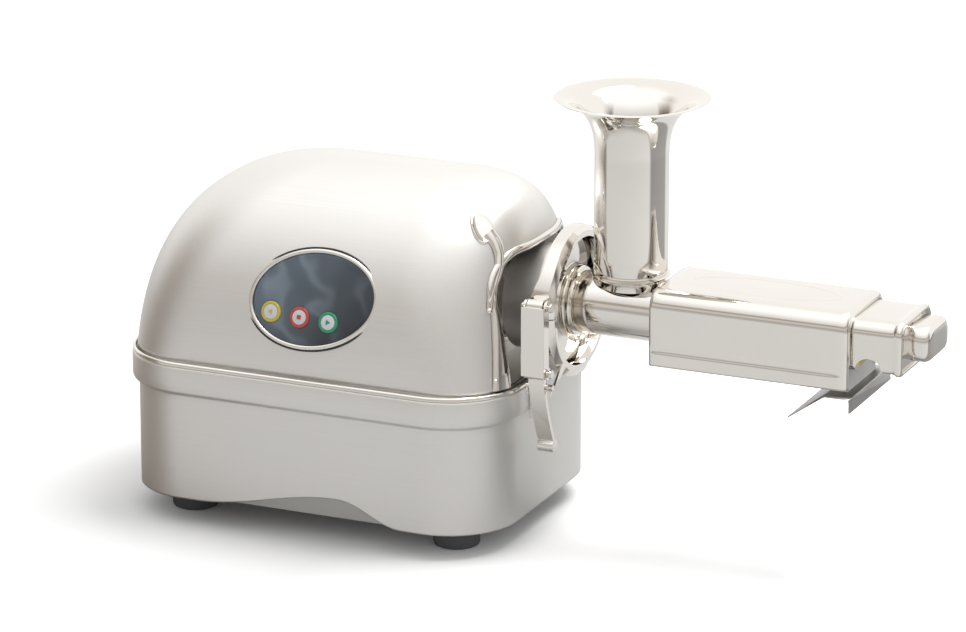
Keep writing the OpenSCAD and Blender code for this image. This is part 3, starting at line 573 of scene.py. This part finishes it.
class MakeRimTrim(Maker):
    """Rolled bright edge on top of the rim band"""
    bl_idname = "juicer.rim_trim"
    bl_label = "Rim trim"

    def make(self):
        a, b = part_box("rim_trim")
        size = (b - a) / 2
        bead = ((0, 0), (0, 1.1), (0.25, 1.75), (0.7, 2.2), (1.2, 2.4), (1.7, 2.2),
                (2.15, 1.75), (2.4, 1.1), (2.4, 0), (0, 0))
        rings = []
        for inward, up in bead:
            d = inward * MM
            rings.append(oblong(size.x - d, size.x - d, size.y - d, 47.7 * MM - d,
                                a.z + up * MM, HOUSE_MID))
        bm = bmesh.new()
        loft(bm, rings)
        finish_piece("rim_lip", bm, "housing", "polished", "mirror_soft", ["rim_trim"],
                     sharp=60)


DOME_LOW = low("top_dome").z
DOME_TOP = high("top_dome").z
DOME_H = DOME_TOP - DOME_LOW + 0.03 * MM
DOME_Y = high("top_dome").y
DOME_X = 124.8 * MM
DOME_LEAN = 2.5 * MM
LEFT_POWER, RIGHT_POWER, SIDE_POWER = 2.6, 6.4, 2.3


def fade(q, power):
    """How much of a reach is left at a share q of the height; a high power turns in late."""
    return max(0.0, 1 - q ** power) ** (1 / power)


def dome_section(q):
    """Left reach, right reach, half width and corner radius at a share q of the dome's height."""
    left, right = DOME_X * fade(q, LEFT_POWER), DOME_X * fade(q, RIGHT_POWER)
    half = DOME_Y * fade(q, SIDE_POWER)
    return left, right, half, (0.48 + 0.52 * q) * min(half, (left + right) / 2)


def on_dome(y, z, lift=0.0):
    """The point of the dome's right end at y and z, lifted off along the surface's normal."""
    def reach(y, z):
        q = (z - DOME_LOW) / DOME_H
        _, right, half, radius = dome_section(q)
        over = max(0.0, abs(y) - half + radius)
        return (HOUSE_MID + right - DOME_LEAN * q - radius
                + max(0.0, radius ** 2 - over ** 2) ** 0.5)

    step = 0.5 * MM
    normal = Vector((1, -(reach(y + step, z) - reach(y - step, z)) / (2 * step),
                     -(reach(y, z + step) - reach(y, z - step)) / (2 * step))).normalized()
    return Vector((reach(y, z), y, z)) + normal * lift


MOUTH_WIDE = 109 * MM
MOUTH_TOP = 179.5 * MM
MOUTH_CORNER = 27.5 * MM
MOUTH_SILL = low("side_straps").z


def mouth(lift=0.0):
    return hood(MOUTH_WIDE, MOUTH_TOP - MOUTH_SILL, MOUTH_CORNER, MOUTH_SILL + lift, steps=16)


PANEL_X = 42.5 * MM
PANEL_Y = 30.5 * MM
PANEL_PROUD = 1 * MM
PANEL_LEAN = Matrix.Rotation(radians(90 - 17), 4, "X")
PANEL_ROLL = Matrix.Rotation(radians(9.5), 4, "Z")
PANEL_OUT = PANEL_LEAN @ Vector((0, 0, 1))
PANEL_PLANE = Matrix.Translation(middle("panel_face") + PANEL_OUT * PANEL_PROUD) @ PANEL_LEAN


class MakeDome(Maker):
    """Satin dome with the hub's mouth and the panel's opening"""
    bl_idname = "juicer.dome"
    bl_label = "Dome"

    def make(self):
        layers = 40
        rings = []
        for k in range(layers + 1):
            q = min(0.9995, sin(radians(89) * k / layers) ** 0.95)
            rings.append(oblong(*dome_section(q), DOME_LOW + q * (DOME_TOP - DOME_LOW),
                                HOUSE_MID - DOME_LEAN * q, corner=18, long=40, short=10))
        bm = bmesh.new()
        loft(bm, rings, cap="e")
        piece = finish_piece("dome_shell", bm, "housing", "brushed", "satin_sheet",
                             ["top_dome"], solid=settings("juicer_sizes").sheet, sharp=70,
                             merge=0)
        bm = bmesh.new()
        prism(bm, mouth(), "x", low("mouth_cup").x, 60 * MM)
        opening = Matrix.Diagonal((PANEL_X - MM, PANEL_Y - MM, 30 * MM, 1))
        bmesh.ops.create_cone(bm, cap_ends=True, segments=96, radius1=1, radius2=1, depth=1,
                              matrix=PANEL_PLANE @ PANEL_ROLL @ opening)
        carve(piece, bm)


class MakeRim(Maker):
    """Polished rim around the mouth, with its arm and the arm's oval dish"""
    bl_idname = "juicer.rim"
    bl_label = "Mouth rim"

    def make(self):
        for name, node, bm in (("mouth_rim", ["side_straps"], self.rim()),
                               ("rim_arm", (), self.arm()), ("arm_dish", (), self.dish())):
            polished(name, bm, node)

    def rim(self):
        """A bead along the mouth, wider towards the low end of its left limb."""
        section = [(0.3, -9), (0.3, 1.2), (0.5, 1.9), (1.1, 2.3), (2.2, 2.4), (3.4, 2.3),
                   (4.1, 1.8), (4.4, 1.0), (4.4, 0.3)]
        corners = [Vector(p) for p in mouth(0.3 * MM)]
        path = []
        for start, end in zip(corners, corners[1:]):
            cuts = max(1, round((end - start).length / (5 * MM)))
            path += [start.lerp(end, k / cuts) for k in range(cuts)]
        path.append(corners[-1])
        rings = []
        for k, point in enumerate(path):
            along = path[min(k + 1, len(path) - 1)] - path[max(k - 1, 0)]
            outward = Vector((-along.y, along.x)).normalized()
            flare = max(0.0, 150 * MM - point.y) / (38 * MM) if point.x < 0 else 0
            row = []
            for out, lift in section:
                y, z = point + outward * out * (1 + flare * 1.7) * MM
                row.append(on_dome(y, z, lift * MM) if lift > 0
                           else on_dome(y, z) + Vector((lift * MM, 0, 0)))
            rings.append(row)
        bm = bmesh.new()
        loft(bm, rings, closed=False)
        return bm

    def arm(self):
        """A half-round strip that climbs from the left limb to the dish."""
        bend = [(-59, 151), (-57, 157), (-54, 162.5), (-50, 168.5), (-45.5, 175.5),
                (-43, 182), (-42, 188), (-42, 194)]
        section = ((-1, 0.2), (-0.95, 1.4), (-0.7, 2.1), (-0.35, 2.45), (0, 2.55),
                   (0.35, 2.45), (0.7, 2.1), (0.95, 1.4), (1, 0.2))
        rows = []
        for k in range(4 * len(bend) - 3):
            first, share = k // 4, k % 4 / 4
            y, z = Vector(bend[first]).lerp(Vector(bend[min(first + 1, len(bend) - 1)]), share)
            half = 2.0 + 1.5 * min(1, k / 14)
            rows.append([on_dome((y + side * half) * MM, (z + side * half * 0.5) * MM, lift * MM)
                         for side, lift in section])
        bm = bmesh.new()
        loft(bm, rows, closed=False)
        bmesh.ops.smooth_vert(bm, verts=bm.verts, factor=0.5, use_axis_x=True, use_axis_y=True,
                              use_axis_z=True)
        return bm

    def dish(self):
        """A shallow oval dish with a raised edge at the top of the arm."""
        y, z = -43 * MM, 196 * MM
        centre = on_dome(y, z)
        normal = (on_dome(y, z, 1 * MM) - centre).normalized()
        level = Vector((0, 0, 1)).cross(normal).normalized()
        upward = normal.cross(level)
        rings = []
        for share, lift in ((1.0, 0.05), (0.97, 0.7), (0.9, 1.0), (0.82, 0.7), (0.7, 0.35),
                            (0.4, 0.2), (0.1, 0.2)):
            ring = [centre + level * 6.6 * MM * share * cos(tau * k / 48)
                    + upward * 10.5 * MM * share * sin(tau * k / 48) for k in range(48)]
            rings.append([on_dome(spot.y, spot.z, lift * MM) for spot in ring])
        bm = bmesh.new()
        loft(bm, rings, cap="e")
        return bm


# ---------------------------------------------------------------- control panel
def panel_oval(reach_x, reach_y, height, steps=96):
    """An oval ring on the panel's own plane, at a height above it."""
    return [PANEL_PLANE @ PANEL_ROLL @ Vector((reach_x * cos(tau * k / steps),
                                               reach_y * sin(tau * k / steps), height))
            for k in range(steps)]


class MakePanel(Maker):
    """Bezel ring, glossy face and gasket of the oval control panel"""
    bl_idname = "juicer.panel"
    bl_label = "Control panel"

    def make(self):
        bezel = ((0, -5), (0, 0.2), (0.35, 0.9), (1.0, 1.45), (1.7, 1.6), (2.4, 1.45),
                 (2.85, 0.9), (3.0, 0.1), (3.0, -1.5))
        bm = bmesh.new()
        loft(bm, [panel_oval(PANEL_X - inward * MM, PANEL_Y - inward * MM, height * MM)
                  for inward, height in bezel])
        finish_piece("panel_ring", bm, "housing", "satin_trim", "bezel_silver",
                     ["panel_bezel"], sharp=70)

        inset = 3.02 * MM
        crown = ((1.0, -1.8), (1.0, 0.0), (0.985, 0.2), (0.93, 0.35), (0.75, 0.5), (0.4, 0.6),
                 (0.1, 0.62))
        bm = bmesh.new()
        loft(bm, [panel_oval((PANEL_X - inset) * share, (PANEL_Y - inset) * share, height * MM)
                  for share, height in crown], cap="se")
        finish_piece("panel_plate", bm, "housing", "panel_print", "panel_print",
                     ["panel_face"], sharp=70)

        gasket = ((0.1, -2.2), (0.1, 0.6), (0.5, 0.75), (0.8, 0.5), (0.8, -2.2))
        bm = bmesh.new()
        loft(bm, [panel_oval(PANEL_X + outward * MM, PANEL_Y + outward * MM, height * MM)
                  for outward, height in gasket])
        finish_piece("panel_gasket", bm, "housing", "black_plastic", "black_plastic", sharp=60)


BUTTONS = {"reverse": "yellow", "stop": "red", "start": "green"}
COLLAR = [(-1.4, 0), (-1.4, 6.4), (0.9, 6.4), (1.35, 6.1), (1.55, 5.6), (1.5, 4.9), (1.2, 4.6),
          (1.2, 0)]
CAP = [(1.1, 0), (1.1, 4.5), (1.45, 4.35), (1.6, 3.9), (1.65, 0)]
WELL = 6.6 * MM


class MakeButtons(Maker):
    """Three push buttons: coloured collar, pale cap and a generic symbol"""
    bl_idname = "juicer.buttons"
    bl_label = "Push buttons"

    def make(self):
        face = PANEL_PLANE.translation
        wells = bmesh.new()
        for name, tone in BUTTONS.items():
            node = name + "_button"
            mid = middle(node)
            spot = mid + PANEL_OUT * (face - mid).dot(PANEL_OUT)
            place = Matrix.Translation(spot) @ PANEL_LEAN
            bmesh.ops.create_cone(wells, cap_ends=True, segments=64, radius1=WELL,
                                  radius2=WELL, depth=8 * MM, matrix=place)
            collar, cap, sign = bmesh.new(), bmesh.new(), bmesh.new()
            lathe(collar, COLLAR, "z", steps=48)
            lathe(cap, CAP, "z", steps=48)
            symbol(sign, name)
            for part, bm, finish in (("collar", collar, "collar_" + tone),
                                     ("cap", cap, "button_cap"),
                                     ("symbol", sign, "collar_" + tone)):
                bmesh.ops.transform(bm, matrix=place, verts=bm.verts)
                finish_piece(f"{name}_{part}", bm, node, "button_" + tone, finish,
                             [node] if part == "collar" else (), sharp=40)
        carve(bpy.data.objects["panel_plate"], wells)


def symbol(bm, name):
    """A generic play triangle, stop square or back triangle standing on the cap."""
    if name == "stop":
        outline = [(-1.3, -1.3), (1.3, -1.3), (1.3, 1.3), (-1.3, 1.3)]
    else:
        s = 1 if name == "start" else -1
        outline = [(-1.1 * s, -1.7), (1.8 * s, 0), (-1.1 * s, 1.7)]
    prism(bm, [(x * MM, y * MM) for x, y in outline], "z", 1.5 * MM, 0.3 * MM)


# ---------------------------------------------------------------- feet
class MakeFeet(Maker):
    """Round rubber feet with a softened lower edge"""
    bl_idname = "juicer.feet"
    bl_label = "Feet"

    def make(self):
        a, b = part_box("feet")
        inset = 15 * MM
        foot = [(6, 0), (6, 4.4), (0, 4.6), (0, 12.6), (0.5, 13.6), (2, 14.2), (13.4, 15),
                (14.6, 14.6), (15.9, 13.8), (15.9, 0)]
        bm = bmesh.new()
        for x in (a.x + inset, b.x - inset):
            for y in (a.y + inset, b.y - inset):
                lathe(bm, foot, "z", (x, y, 0), 48)
        finish_piece("rubber_feet", bm, "housing", "rubber", "black_rubber", ["feet"], sharp=40)


# ---------------------------------------------------------------- hub, barrel and clamp
FLANGE = 41.5


class MakeHub(Maker):
    """Rear ring and the drum with its flange"""
    bl_idname = "juicer.hub"
    bl_label = "Hub"

    def make(self):
        bm = bmesh.new()
        lathe(bm, [(0, 14), (0, 28.5), (1, 30), (3.4, 30.5), (5.6, 30), (6.4, 28.8), (6.6, 27),
                   (11.9, 27), (11.9, 14), (0, 14)], "x", (low("rear_ring").x, 0, AXIS_Z))
        polished("rear_ring_polished", bm, ["rear_ring"], sharp=35)
        start = low("hub_drum").x
        end = (high("hub_drum").x - start) / MM
        bm = bmesh.new()
        lathe(bm, [(0, 9), (0, 31), (0.5, 32), (1.5, 32.5), (end - 7, 32.5), (end - 3.6, 33.5),
                   (end - 2.8, 35), (end - 2.8, FLANGE), (end, FLANGE), (end, 18),
                   (end - 10, 18), (end - 10, 9), (0, 9)], "x", (start, 0, AXIS_Z))
        finish_piece("hub_drum_turned", bm, "housing", "brushed", "satin_sheet",
                     ["hub_drum"], sharp=35)


class MakeFunnel(Maker):
    """Feed tube that flares into a trumpet mouth with a thin rolled edge"""
    bl_idname = "juicer.funnel"
    bl_label = "Funnel"

    def make(self):
        a, b = (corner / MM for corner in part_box("feed_funnel"))
        sizes = settings("juicer_sizes")
        neck, flare = sizes.neck / MM, sizes.flare / MM
        edge, wall = (b.x - a.x) / 2, 1.1
        straight = b.z - flare - a.z
        outer = [(a.z, neck - 0.4), (a.z + 0.5, neck)]
        outer += [(a.z + straight * k / 6, neck) for k in range(1, 6)]
        for k in range(25):
            t = k / 24
            outer.append((b.z - flare + (flare - 0.3) * (1 - (1 - t) ** 1.5),
                          neck + (edge - neck) * t ** 2.4))
        lip = [(b.z, edge - 0.2), (b.z, edge - 0.9)]
        inner = [(min(z + (0.6 if r > neck + 10 else 0), b.z), r - wall)
                 for z, r in reversed(outer[:-1])]
        bm = bmesh.new()
        lathe(bm, outer + lip + inner + [outer[0]], "z", (FEED_X, 0, 0))
        polished("trumpet_funnel", bm, ["feed_funnel"])


class MakeBarrel(Maker):
    """Barrel tube with its flange, stepped collar and saddle under the feed tube"""
    bl_idname = "juicer.barrel"
    bl_label = "Barrel"

    def make(self):
        a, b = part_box("juicing_barrel")
        end = (b.x - a.x) / MM
        bm = bmesh.new()
        lathe(bm, [(0, 9), (0, FLANGE), (2.8, FLANGE), (2.8, 24), (3.4, 22.4), (4.2, 22),
                   (6.2, 22), (6.8, 21.6), (7, 20.6), (7.4, 20.6), (7.8, 21.3), (9.2, 21.3),
                   (9.8, 20.7), (10, 19), (end - 0.4, 19), (end, 18.6), (end, 17.4)],
              "x", (a.x, 0, AXIS_Z))
        polished("barrel_tube", bm, ["juicing_barrel"], sharp=35)
        bm = bmesh.new()
        lathe(bm, [(-9, 18), (-5, 18.6), (-2.5, 20.6), (-1.6, 23.3), (-1, 23.8), (-0.3, 23.6),
                   (0, 22.9), (0, 14), (-12, 14)], "z", (FEED_X, 0, low("feed_funnel").z))
        polished("feed_saddle", bm)


class MakeCover(Maker):
    """Juice cover: pressed sheet with side grooves, a rolled front lip and a raised oval"""
    bl_idname = "juicer.cover"
    bl_label = "Juice cover"

    def make(self):
        a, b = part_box("juice_cover")
        size, sizes = b - a, settings("juicer_sizes")
        groove_up, groove_half = 10, 1.9
        stations = [(0, 3), (0.6, 1.2), (1.6, 0.4), (3, 0)]
        stations += [(along, 0) for along in (8, 20, 40, 60, 80, 100, 112, 118, 121.5)]
        stations += [(123.2, 0.5), (124.3, 1.4), (124.8, 2.6), (125, 3.6)]
        rows = []
        for along, shrink in stations:
            outline = hood(size.y - 2 * shrink * MM, size.z - shrink * MM, 11 * MM, a.z)
            rows.append([Vector((a.x + along * MM, y, z)) for y, z in outline])
        bm = bmesh.new()
        loft(bm, rows, closed=False)
        walls = []
        for edge in bm.edges:
            run = edge.verts[0].co - edge.verts[1].co
            if max(abs(run.x), abs(run.y)) < 1e-6 and abs(run.z) > 20 * MM:
                walls.append(edge)
        bmesh.ops.subdivide_edges(bm, edges=walls, cuts=24, use_grid_fill=True)
        for vert in bm.verts:
            along, up = (vert.co.x - a.x) / MM, (vert.co.z - a.z) / MM
            if abs(vert.co.y) > size.y / 2 - 1 * MM and 2 < along < 120:
                groove = sizes.groove * max(0, 1 - abs(up - groove_up) / groove_half)
                vert.co.y -= groove if vert.co.y > 0 else -groove
        polished("cover_hood", bm, ["juice_cover"], "cover", solid=sizes.cover)

        bead = ((-1.6, -0.05), (-0.9, 0.22), (0, 0.34), (0.9, 0.22), (1.6, -0.05))
        oval_at, oval_x, oval_y = 62, 46, 16
        rings = []
        for k in range(97):
            turn = tau * k / 96
            rings.append([Vector((a.x + (oval_at + (oval_x + out) * cos(turn)) * MM,
                                  (oval_y + out) * MM * sin(turn), b.z + rise * MM))
                          for out, rise in bead])
        bm = bmesh.new()
        loft(bm, rings, closed=False)
        polished("cover_oval", bm, body="cover")


class MakeClamp(Maker):
    """Split clamp ring, latch link, pins and handle with softened edges"""
    bl_idname = "juicer.clamp"
    bl_label = "Clamp"

    def make(self):
        front = high("clamp_ring_upper").x
        slim, lug_from, lug_blend = 0.64, 36 * MM, 12 * MM

        def slimmer(at):
            """Draws the ring in towards its front, except at the lugs."""
            lug = min(1.0, max(0.0, (abs(at.y) - lug_from) / lug_blend))
            lug = lug * lug * (3 - 2 * lug)
            return Vector((front - (front - at.x) * (slim + (1 - slim) * lug), at.y, at.z))

        for name, node, body, bevel, shape in (
                ("clamp_upper_half", "clamp_ring_upper", "clamp_upper", 0.7, slimmer),
                ("clamp_lower_half", "clamp_ring_lower", "housing", 0.7, slimmer),
                ("link_plate", "latch_link", "latch", 0.5, None),
                ("handle_lever", "clamp_handle", "handle", 0.8, None)):
            soften(name, node, body, "polished", "mirror_sheet", bevel, shape)
        soften("link_pins", "latch_pins", "latch", "polished", "mirror_soft", 0.4)
        soften("far_hinge_pin", "hinge_pin", "housing", "polished", "mirror_soft", 0.4)


# ---------------------------------------------------------------- pulp end
def boxed(x, half, floor, roof, grow, radius, low_radius=3.5 * MM):
    """A ring across X with round corners, wider ones at the top, grown by a step all round."""
    half, floor, roof = half + grow, floor - grow, roof + grow
    radius = max(0.8 * MM, radius + min(grow, 0))
    low_radius = max(0.8 * MM, low_radius + min(grow, 0))
    points = arc((radius - half, roof - radius), radius, pi, pi / 2, 8)
    points += arc((half - radius, roof - radius), radius, pi / 2, 0, 8)
    points += arc((half - low_radius, floor + low_radius), low_radius, 0, -pi / 2, 5)
    points += arc((low_radius - half, floor + low_radius), low_radius, -pi / 2, -pi, 5)
    return [Vector((x, y, z)) for y, z in points]


class MakePulpEnd(Maker):
    """Pulp box with its half-round outlets, the rounded nose and the bent deflector"""
    bl_idname = "juicer.pulp_end"
    bl_label = "Pulp end"

    def make(self):
        a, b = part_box("pulp_housing")
        floor, roof, end = a.z + 13 * MM, b.z + 5 * MM, b.x - 3 * MM
        outlet, outlet_x = settings("juicer_sizes").outlet, a.x + 13 * MM
        stations = [(a.x + (0.3 + 3 * k) * MM, 0) for k in range(9)]
        stations += [(end - back * MM, grow) for back, grow in
                     ((6, 0), (5, 0.2), (3.8, 0.8), (2, 0.9), (0.7, 0.5), (0.1, -0.4),
                      (0, -1.2), (0.4, -2.0), (1.6, -2.6), (1.8, -5.0))]
        bm = bmesh.new()
        loft(bm, [boxed(x, b.y, floor, roof, grow * MM, 8.5 * MM) for x, grow in stations],
             cap="se")
        box = polished("pulp_box", bm, ["pulp_housing"], "pulp_end", sharp=45)
        place = Matrix.Translation((outlet_x, 0, floor)) @ Matrix.Rotation(pi / 2, 4, "X")
        bm = bmesh.new()
        bmesh.ops.create_cone(bm, cap_ends=True, segments=64, radius1=outlet, radius2=outlet,
                              depth=3 * b.y, matrix=place)
        carve(box, bm, shade=False)

        a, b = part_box("pulp_nose")
        rise, slack = 6.5 * MM, 1.5 * MM
        stations = [(end - 2.2 * MM, -0.6), (end + 1 * MM, -0.6), (end + 1.6 * MM, 0)]
        stations += [(b.x - back * MM, grow) for back, grow in
                     ((4.6, 0), (3.2, -0.3), (1.8, -1.1), (0.8, -2.2), (0.2, -3.6), (0, -5.2),
                      (0, -7.5))]
        bm = bmesh.new()
        loft(bm, [boxed(x, b.y, a.z + rise + slack, b.z + rise - slack, grow * MM, 9 * MM, 8 * MM)
                  for x, grow in stations], cap="se")
        finish_piece("nose_cap", bm, "pulp_end", "satin_trim", "mirror_soft", ["pulp_nose"],
                     sharp=50)

        shoulder, widening, raised = 110 * MM, 1.2, 7 * MM

        def lifted(at):
            """Raises the deflector with the box and widens its lower part."""
            wide = widening if at.z < shoulder else 1.0
            return Vector((at.x, at.y * wide, at.z + raised))

        soften("deflector_blade", "pulp_deflector", "pulp_end", "dark_steel", "flap_sheet",
               0.35, lifted)


class MakeTrimPieces(Maker):
    """Base tray, end plate with its screws, and the two pins beside the mouth"""
    bl_idname = "juicer.trim_pieces"
    bl_label = "Trim pieces"

    def make(self):
        # The tray's darkened sheet is painted shade under the housing's arch
        soften("tray", "base_tray", "housing", "brushed", "shaded_sheet", 0.5)
        soften("end_cover", "end_plate", "housing", "brushed", "satin_sheet", 0.3)
        soften("end_screws", "end_plate_screws", "housing", "polished", "mirror_soft", 0.35)
        bm = bmesh.new()
        for y, z in ((-60, 151), (-66, 110)):
            spot = on_dome(y * MM, z * MM, 1.9 * MM)
            bmesh.ops.create_uvsphere(bm, u_segments=24, v_segments=12,
                                      radius=settings("juicer_sizes").pin,
                                      matrix=Matrix.Translation(spot))
        finish_piece("arm_pins", bm, "housing", "polished", "mirror_soft", ["strap_pins"])


# ---------------------------------------------------------------- stage
ROOM = [(0.194, 1.0), (0.244, (0.52, 0.46, 0.40)), (0.292, (0.36, 0.32, 0.28)),
        (0.328, (0.46, 0.42, 0.38)), (0.345, 0.95), (0.715, 0.95), (0.733, 0.40),
        (0.889, 0.46), (0.906, 0.95)]
SKY = [(0.0, (0.36, 0.335, 0.31)), (0.08, (0.52, 0.50, 0.48)), (0.22, (0.56, 0.54, 0.52)),
       (0.27, (0.34, 0.305, 0.27)), (0.36, (0.38, 0.345, 0.31)), (0.42, (0.66, 0.65, 0.64)),
       (0.60, (0.78, 0.78, 0.78)), (0.85, (1.0, 1.0, 1.0))]
# Painted shade of the floor as the metal sees it, by distance from the juicer
FLOOR_PAINTED_SHADE = [(0.30, 0.64), (0.62, 0.70), (1.0, 0.58)]
BEHIND = (0.84, 0.835, 0.825)
BACKGROUND = (0.80, 0.80, 0.80)
ROOM_STRENGTH = 1.3
LAMP_AT = Vector((0.55, 0.45, 1.9))
LAMP_AIM = Vector((0, 0, 0.12))
CAMERA_AT = (1.2453 + HOUSE_MID, -2.6231, 1.0187)
CAMERA_DOWN = radians(17.26)
CAMERA_TURN = radians(23.92)
CAMERA_LENS = 185.2


def room_around(nodes, point):
    """What a shiny surface sees of the room, by the direction from -Y round to +X."""
    turn = nodes.share(point, "x").math("ARCTAN2", nodes.share(point, "y") * -1)
    return nodes.add("ValToRGB", Fac=turn * (1 / tau) + 0.5, stops=ROOM)


class MakeStage(Maker):
    """Pale floor, one soft lamp, the room's light and the camera"""
    bl_idname = "juicer.stage"
    bl_label = "Stage"

    def make(self):
        self.floor()
        self.world()
        self.lamp()
        self.camera()

    def link(self, name, data):
        ob = bpy.data.objects.new(name, data)
        bpy.context.scene.collection.objects.link(ob)
        return ob

    def floor(self):
        """A wide sheet: pale paper to the camera's rays, with painted light that brightens it
        further off and towards the right and fades the shadow there; to all other rays painted
        shade of the room, darker further off and in bands round the juicer, that the metal
        reflects.
        """
        bm = bmesh.new()
        bmesh.ops.create_grid(bm, x_segments=1, y_segments=1, size=6)
        mesh = bpy.data.meshes.new("floor")
        bm.to_mesh(mesh)
        bm.free()
        finish = Finish("floor_paper", roughness=0.9)
        place = finish.add("TexCoord", out=OBJECT_COORDINATES)
        reach = finish.add("VectorMath", {"operation": "LENGTH"}, out=1, _0=place)
        # Painted shade for all rays but the camera's: darker further off and in the room's bands
        # round the juicer
        far = finish.add("ValToRGB", Fac=reach * 0.8, stops=FLOOR_PAINTED_SHADE)
        far = finish.multiply(far, room_around(finish, place))
        # Painted light for the camera's rays: the paper brightens further off and towards the
        # right, fading the shadow there
        right = ((finish.share(place, "x") + 0.10) * 3).within(0, 0.45)
        lift = (reach * 0.35 + 0.92 + right).math("MINIMUM", 1.6)
        paper = finish.multiply(tuple(settings("juicer_stage").floor), lift)
        finish.colour(finish.blend(finish.add("LightPath"), far, paper))
        finish.shader.inputs["Specular IOR Level"].default_value = 0.0
        mesh.materials.append(finish.material)
        self.link("floor", mesh)

    def world(self):
        """A bright room above, a darker one around the right, and a plain background."""
        world = bpy.data.worlds.new("studio")
        bpy.context.scene.world = world
        world.use_nodes = True
        sky = Nodes(world.node_tree)
        way = sky.add("TexCoord")
        up = sky.share(way, "z")
        lifted = ((up - 0.45) * 3.0).within(0, 1)
        around = sky.blend(lifted, room_around(sky, way), (1, 1, 1))
        tone = sky.multiply(sky.add("ValToRGB", Fac=up, stops=SKY), around)
        tone = sky.blend((sky.share(way, "y") * 3.0).within(0, 1), tone, BEHIND)
        tone = sky.blend(sky.add("LightPath", out=DIFFUSE_RAY), tone,
                         (settings("juicer_stage").sky,) * 3)
        back = world.node_tree.nodes["Background"]
        sky.feed(back.inputs["Color"], sky.blend(sky.add("LightPath"), tone, BACKGROUND))
        back.inputs["Strength"].default_value = ROOM_STRENGTH

    def lamp(self):
        data = bpy.data.lights.new("key_lamp", "AREA")
        data.size = 1.1
        data.energy = settings("juicer_stage").key
        ob = self.link("key_lamp", data)
        ob.location = LAMP_AT
        ob.rotation_euler = (LAMP_AIM - LAMP_AT).to_track_quat("-Z", "Y").to_euler()

    def camera(self):
        data = bpy.data.cameras.new("camera")
        data.lens, data.sensor_width = CAMERA_LENS, 36
        data.clip_end = 50
        camera = self.link("camera", data)
        camera.location = CAMERA_AT
        camera.rotation_euler = (pi / 2 - CAMERA_DOWN, 0, CAMERA_TURN)
        bpy.context.scene.camera = camera
        bpy.context.scene.view_settings.view_transform = "Standard"


SLOT_FINISHES = {
    "brushed": "satin_sheet", "polished": "mirror_sheet", "satin_trim": "bezel_silver",
    "rubber": "black_rubber", "circuit_board": "board_green", "cast": "cast_metal",
    "motor_core": "core_metal", "gear_steel": "gear_metal", "brass": "brass_metal",
    "dark_steel": "flap_sheet"}


class FinishFrame(Maker):
    """Better materials for the frame's own solids; their shapes stay"""
    bl_idname = "juicer.frame_finishes"
    bl_label = "Finishes of the frame"

    def make(self):
        for row in frame["record"]["subparts"]:
            mesh = NODES[row["node"]].data
            mesh.materials.clear()
            finish = SLOT_FINISHES.get(row["material_slot"], "black_plastic")
            mesh.materials.append(material(finish))


class JuicerSidebar(bpy.types.Panel):
    """Lists the juicer's settings and its pieces"""
    bl_idname = "VIEW3D_PT_juicer"
    bl_label = "Juicer"
    bl_space_type = "VIEW_3D"
    bl_region_type = "UI"
    bl_category = "Juicer"

    def draw(self, context):
        for group in GROUPS:
            box = self.layout.box()
            for key in GROUPS[group].__annotations__:
                box.prop(getattr(context.scene, group), key)
        for maker in MAKERS:
            self.layout.operator(maker.bl_idname)


GROUPS = {"juicer_sizes": JuicerSizes, "juicer_steel": JuicerSteel,
          "juicer_panel": JuicerPanel, "juicer_stage": JuicerStage}
MAKERS = [MakeStage, FinishFrame, MakeLowerBody, MakeRimTrim, MakeDome, MakeRim, MakePanel,
          MakeButtons, MakeFeet, MakeHub, MakeFunnel, MakeBarrel, MakeCover, MakeClamp,
          MakePulpEnd, MakeTrimPieces]


def register():
    for group, kind in GROUPS.items():
        bpy.utils.register_class(kind)
        setattr(bpy.types.Scene, group, PointerProperty(type=kind))
    for kind in MAKERS + [JuicerSidebar]:
        bpy.utils.register_class(kind)


def unregister():
    for kind in reversed(MAKERS + [JuicerSidebar]):
        bpy.utils.unregister_class(kind)
    for group, kind in GROUPS.items():
        delattr(bpy.types.Scene, group)
        bpy.utils.unregister_class(kind)


def main():
    register()
    for maker in MAKERS:
        module, name = maker.bl_idname.split(".")
        getattr(getattr(bpy.ops, module), name)()


if __name__ == "__main__":
    main()
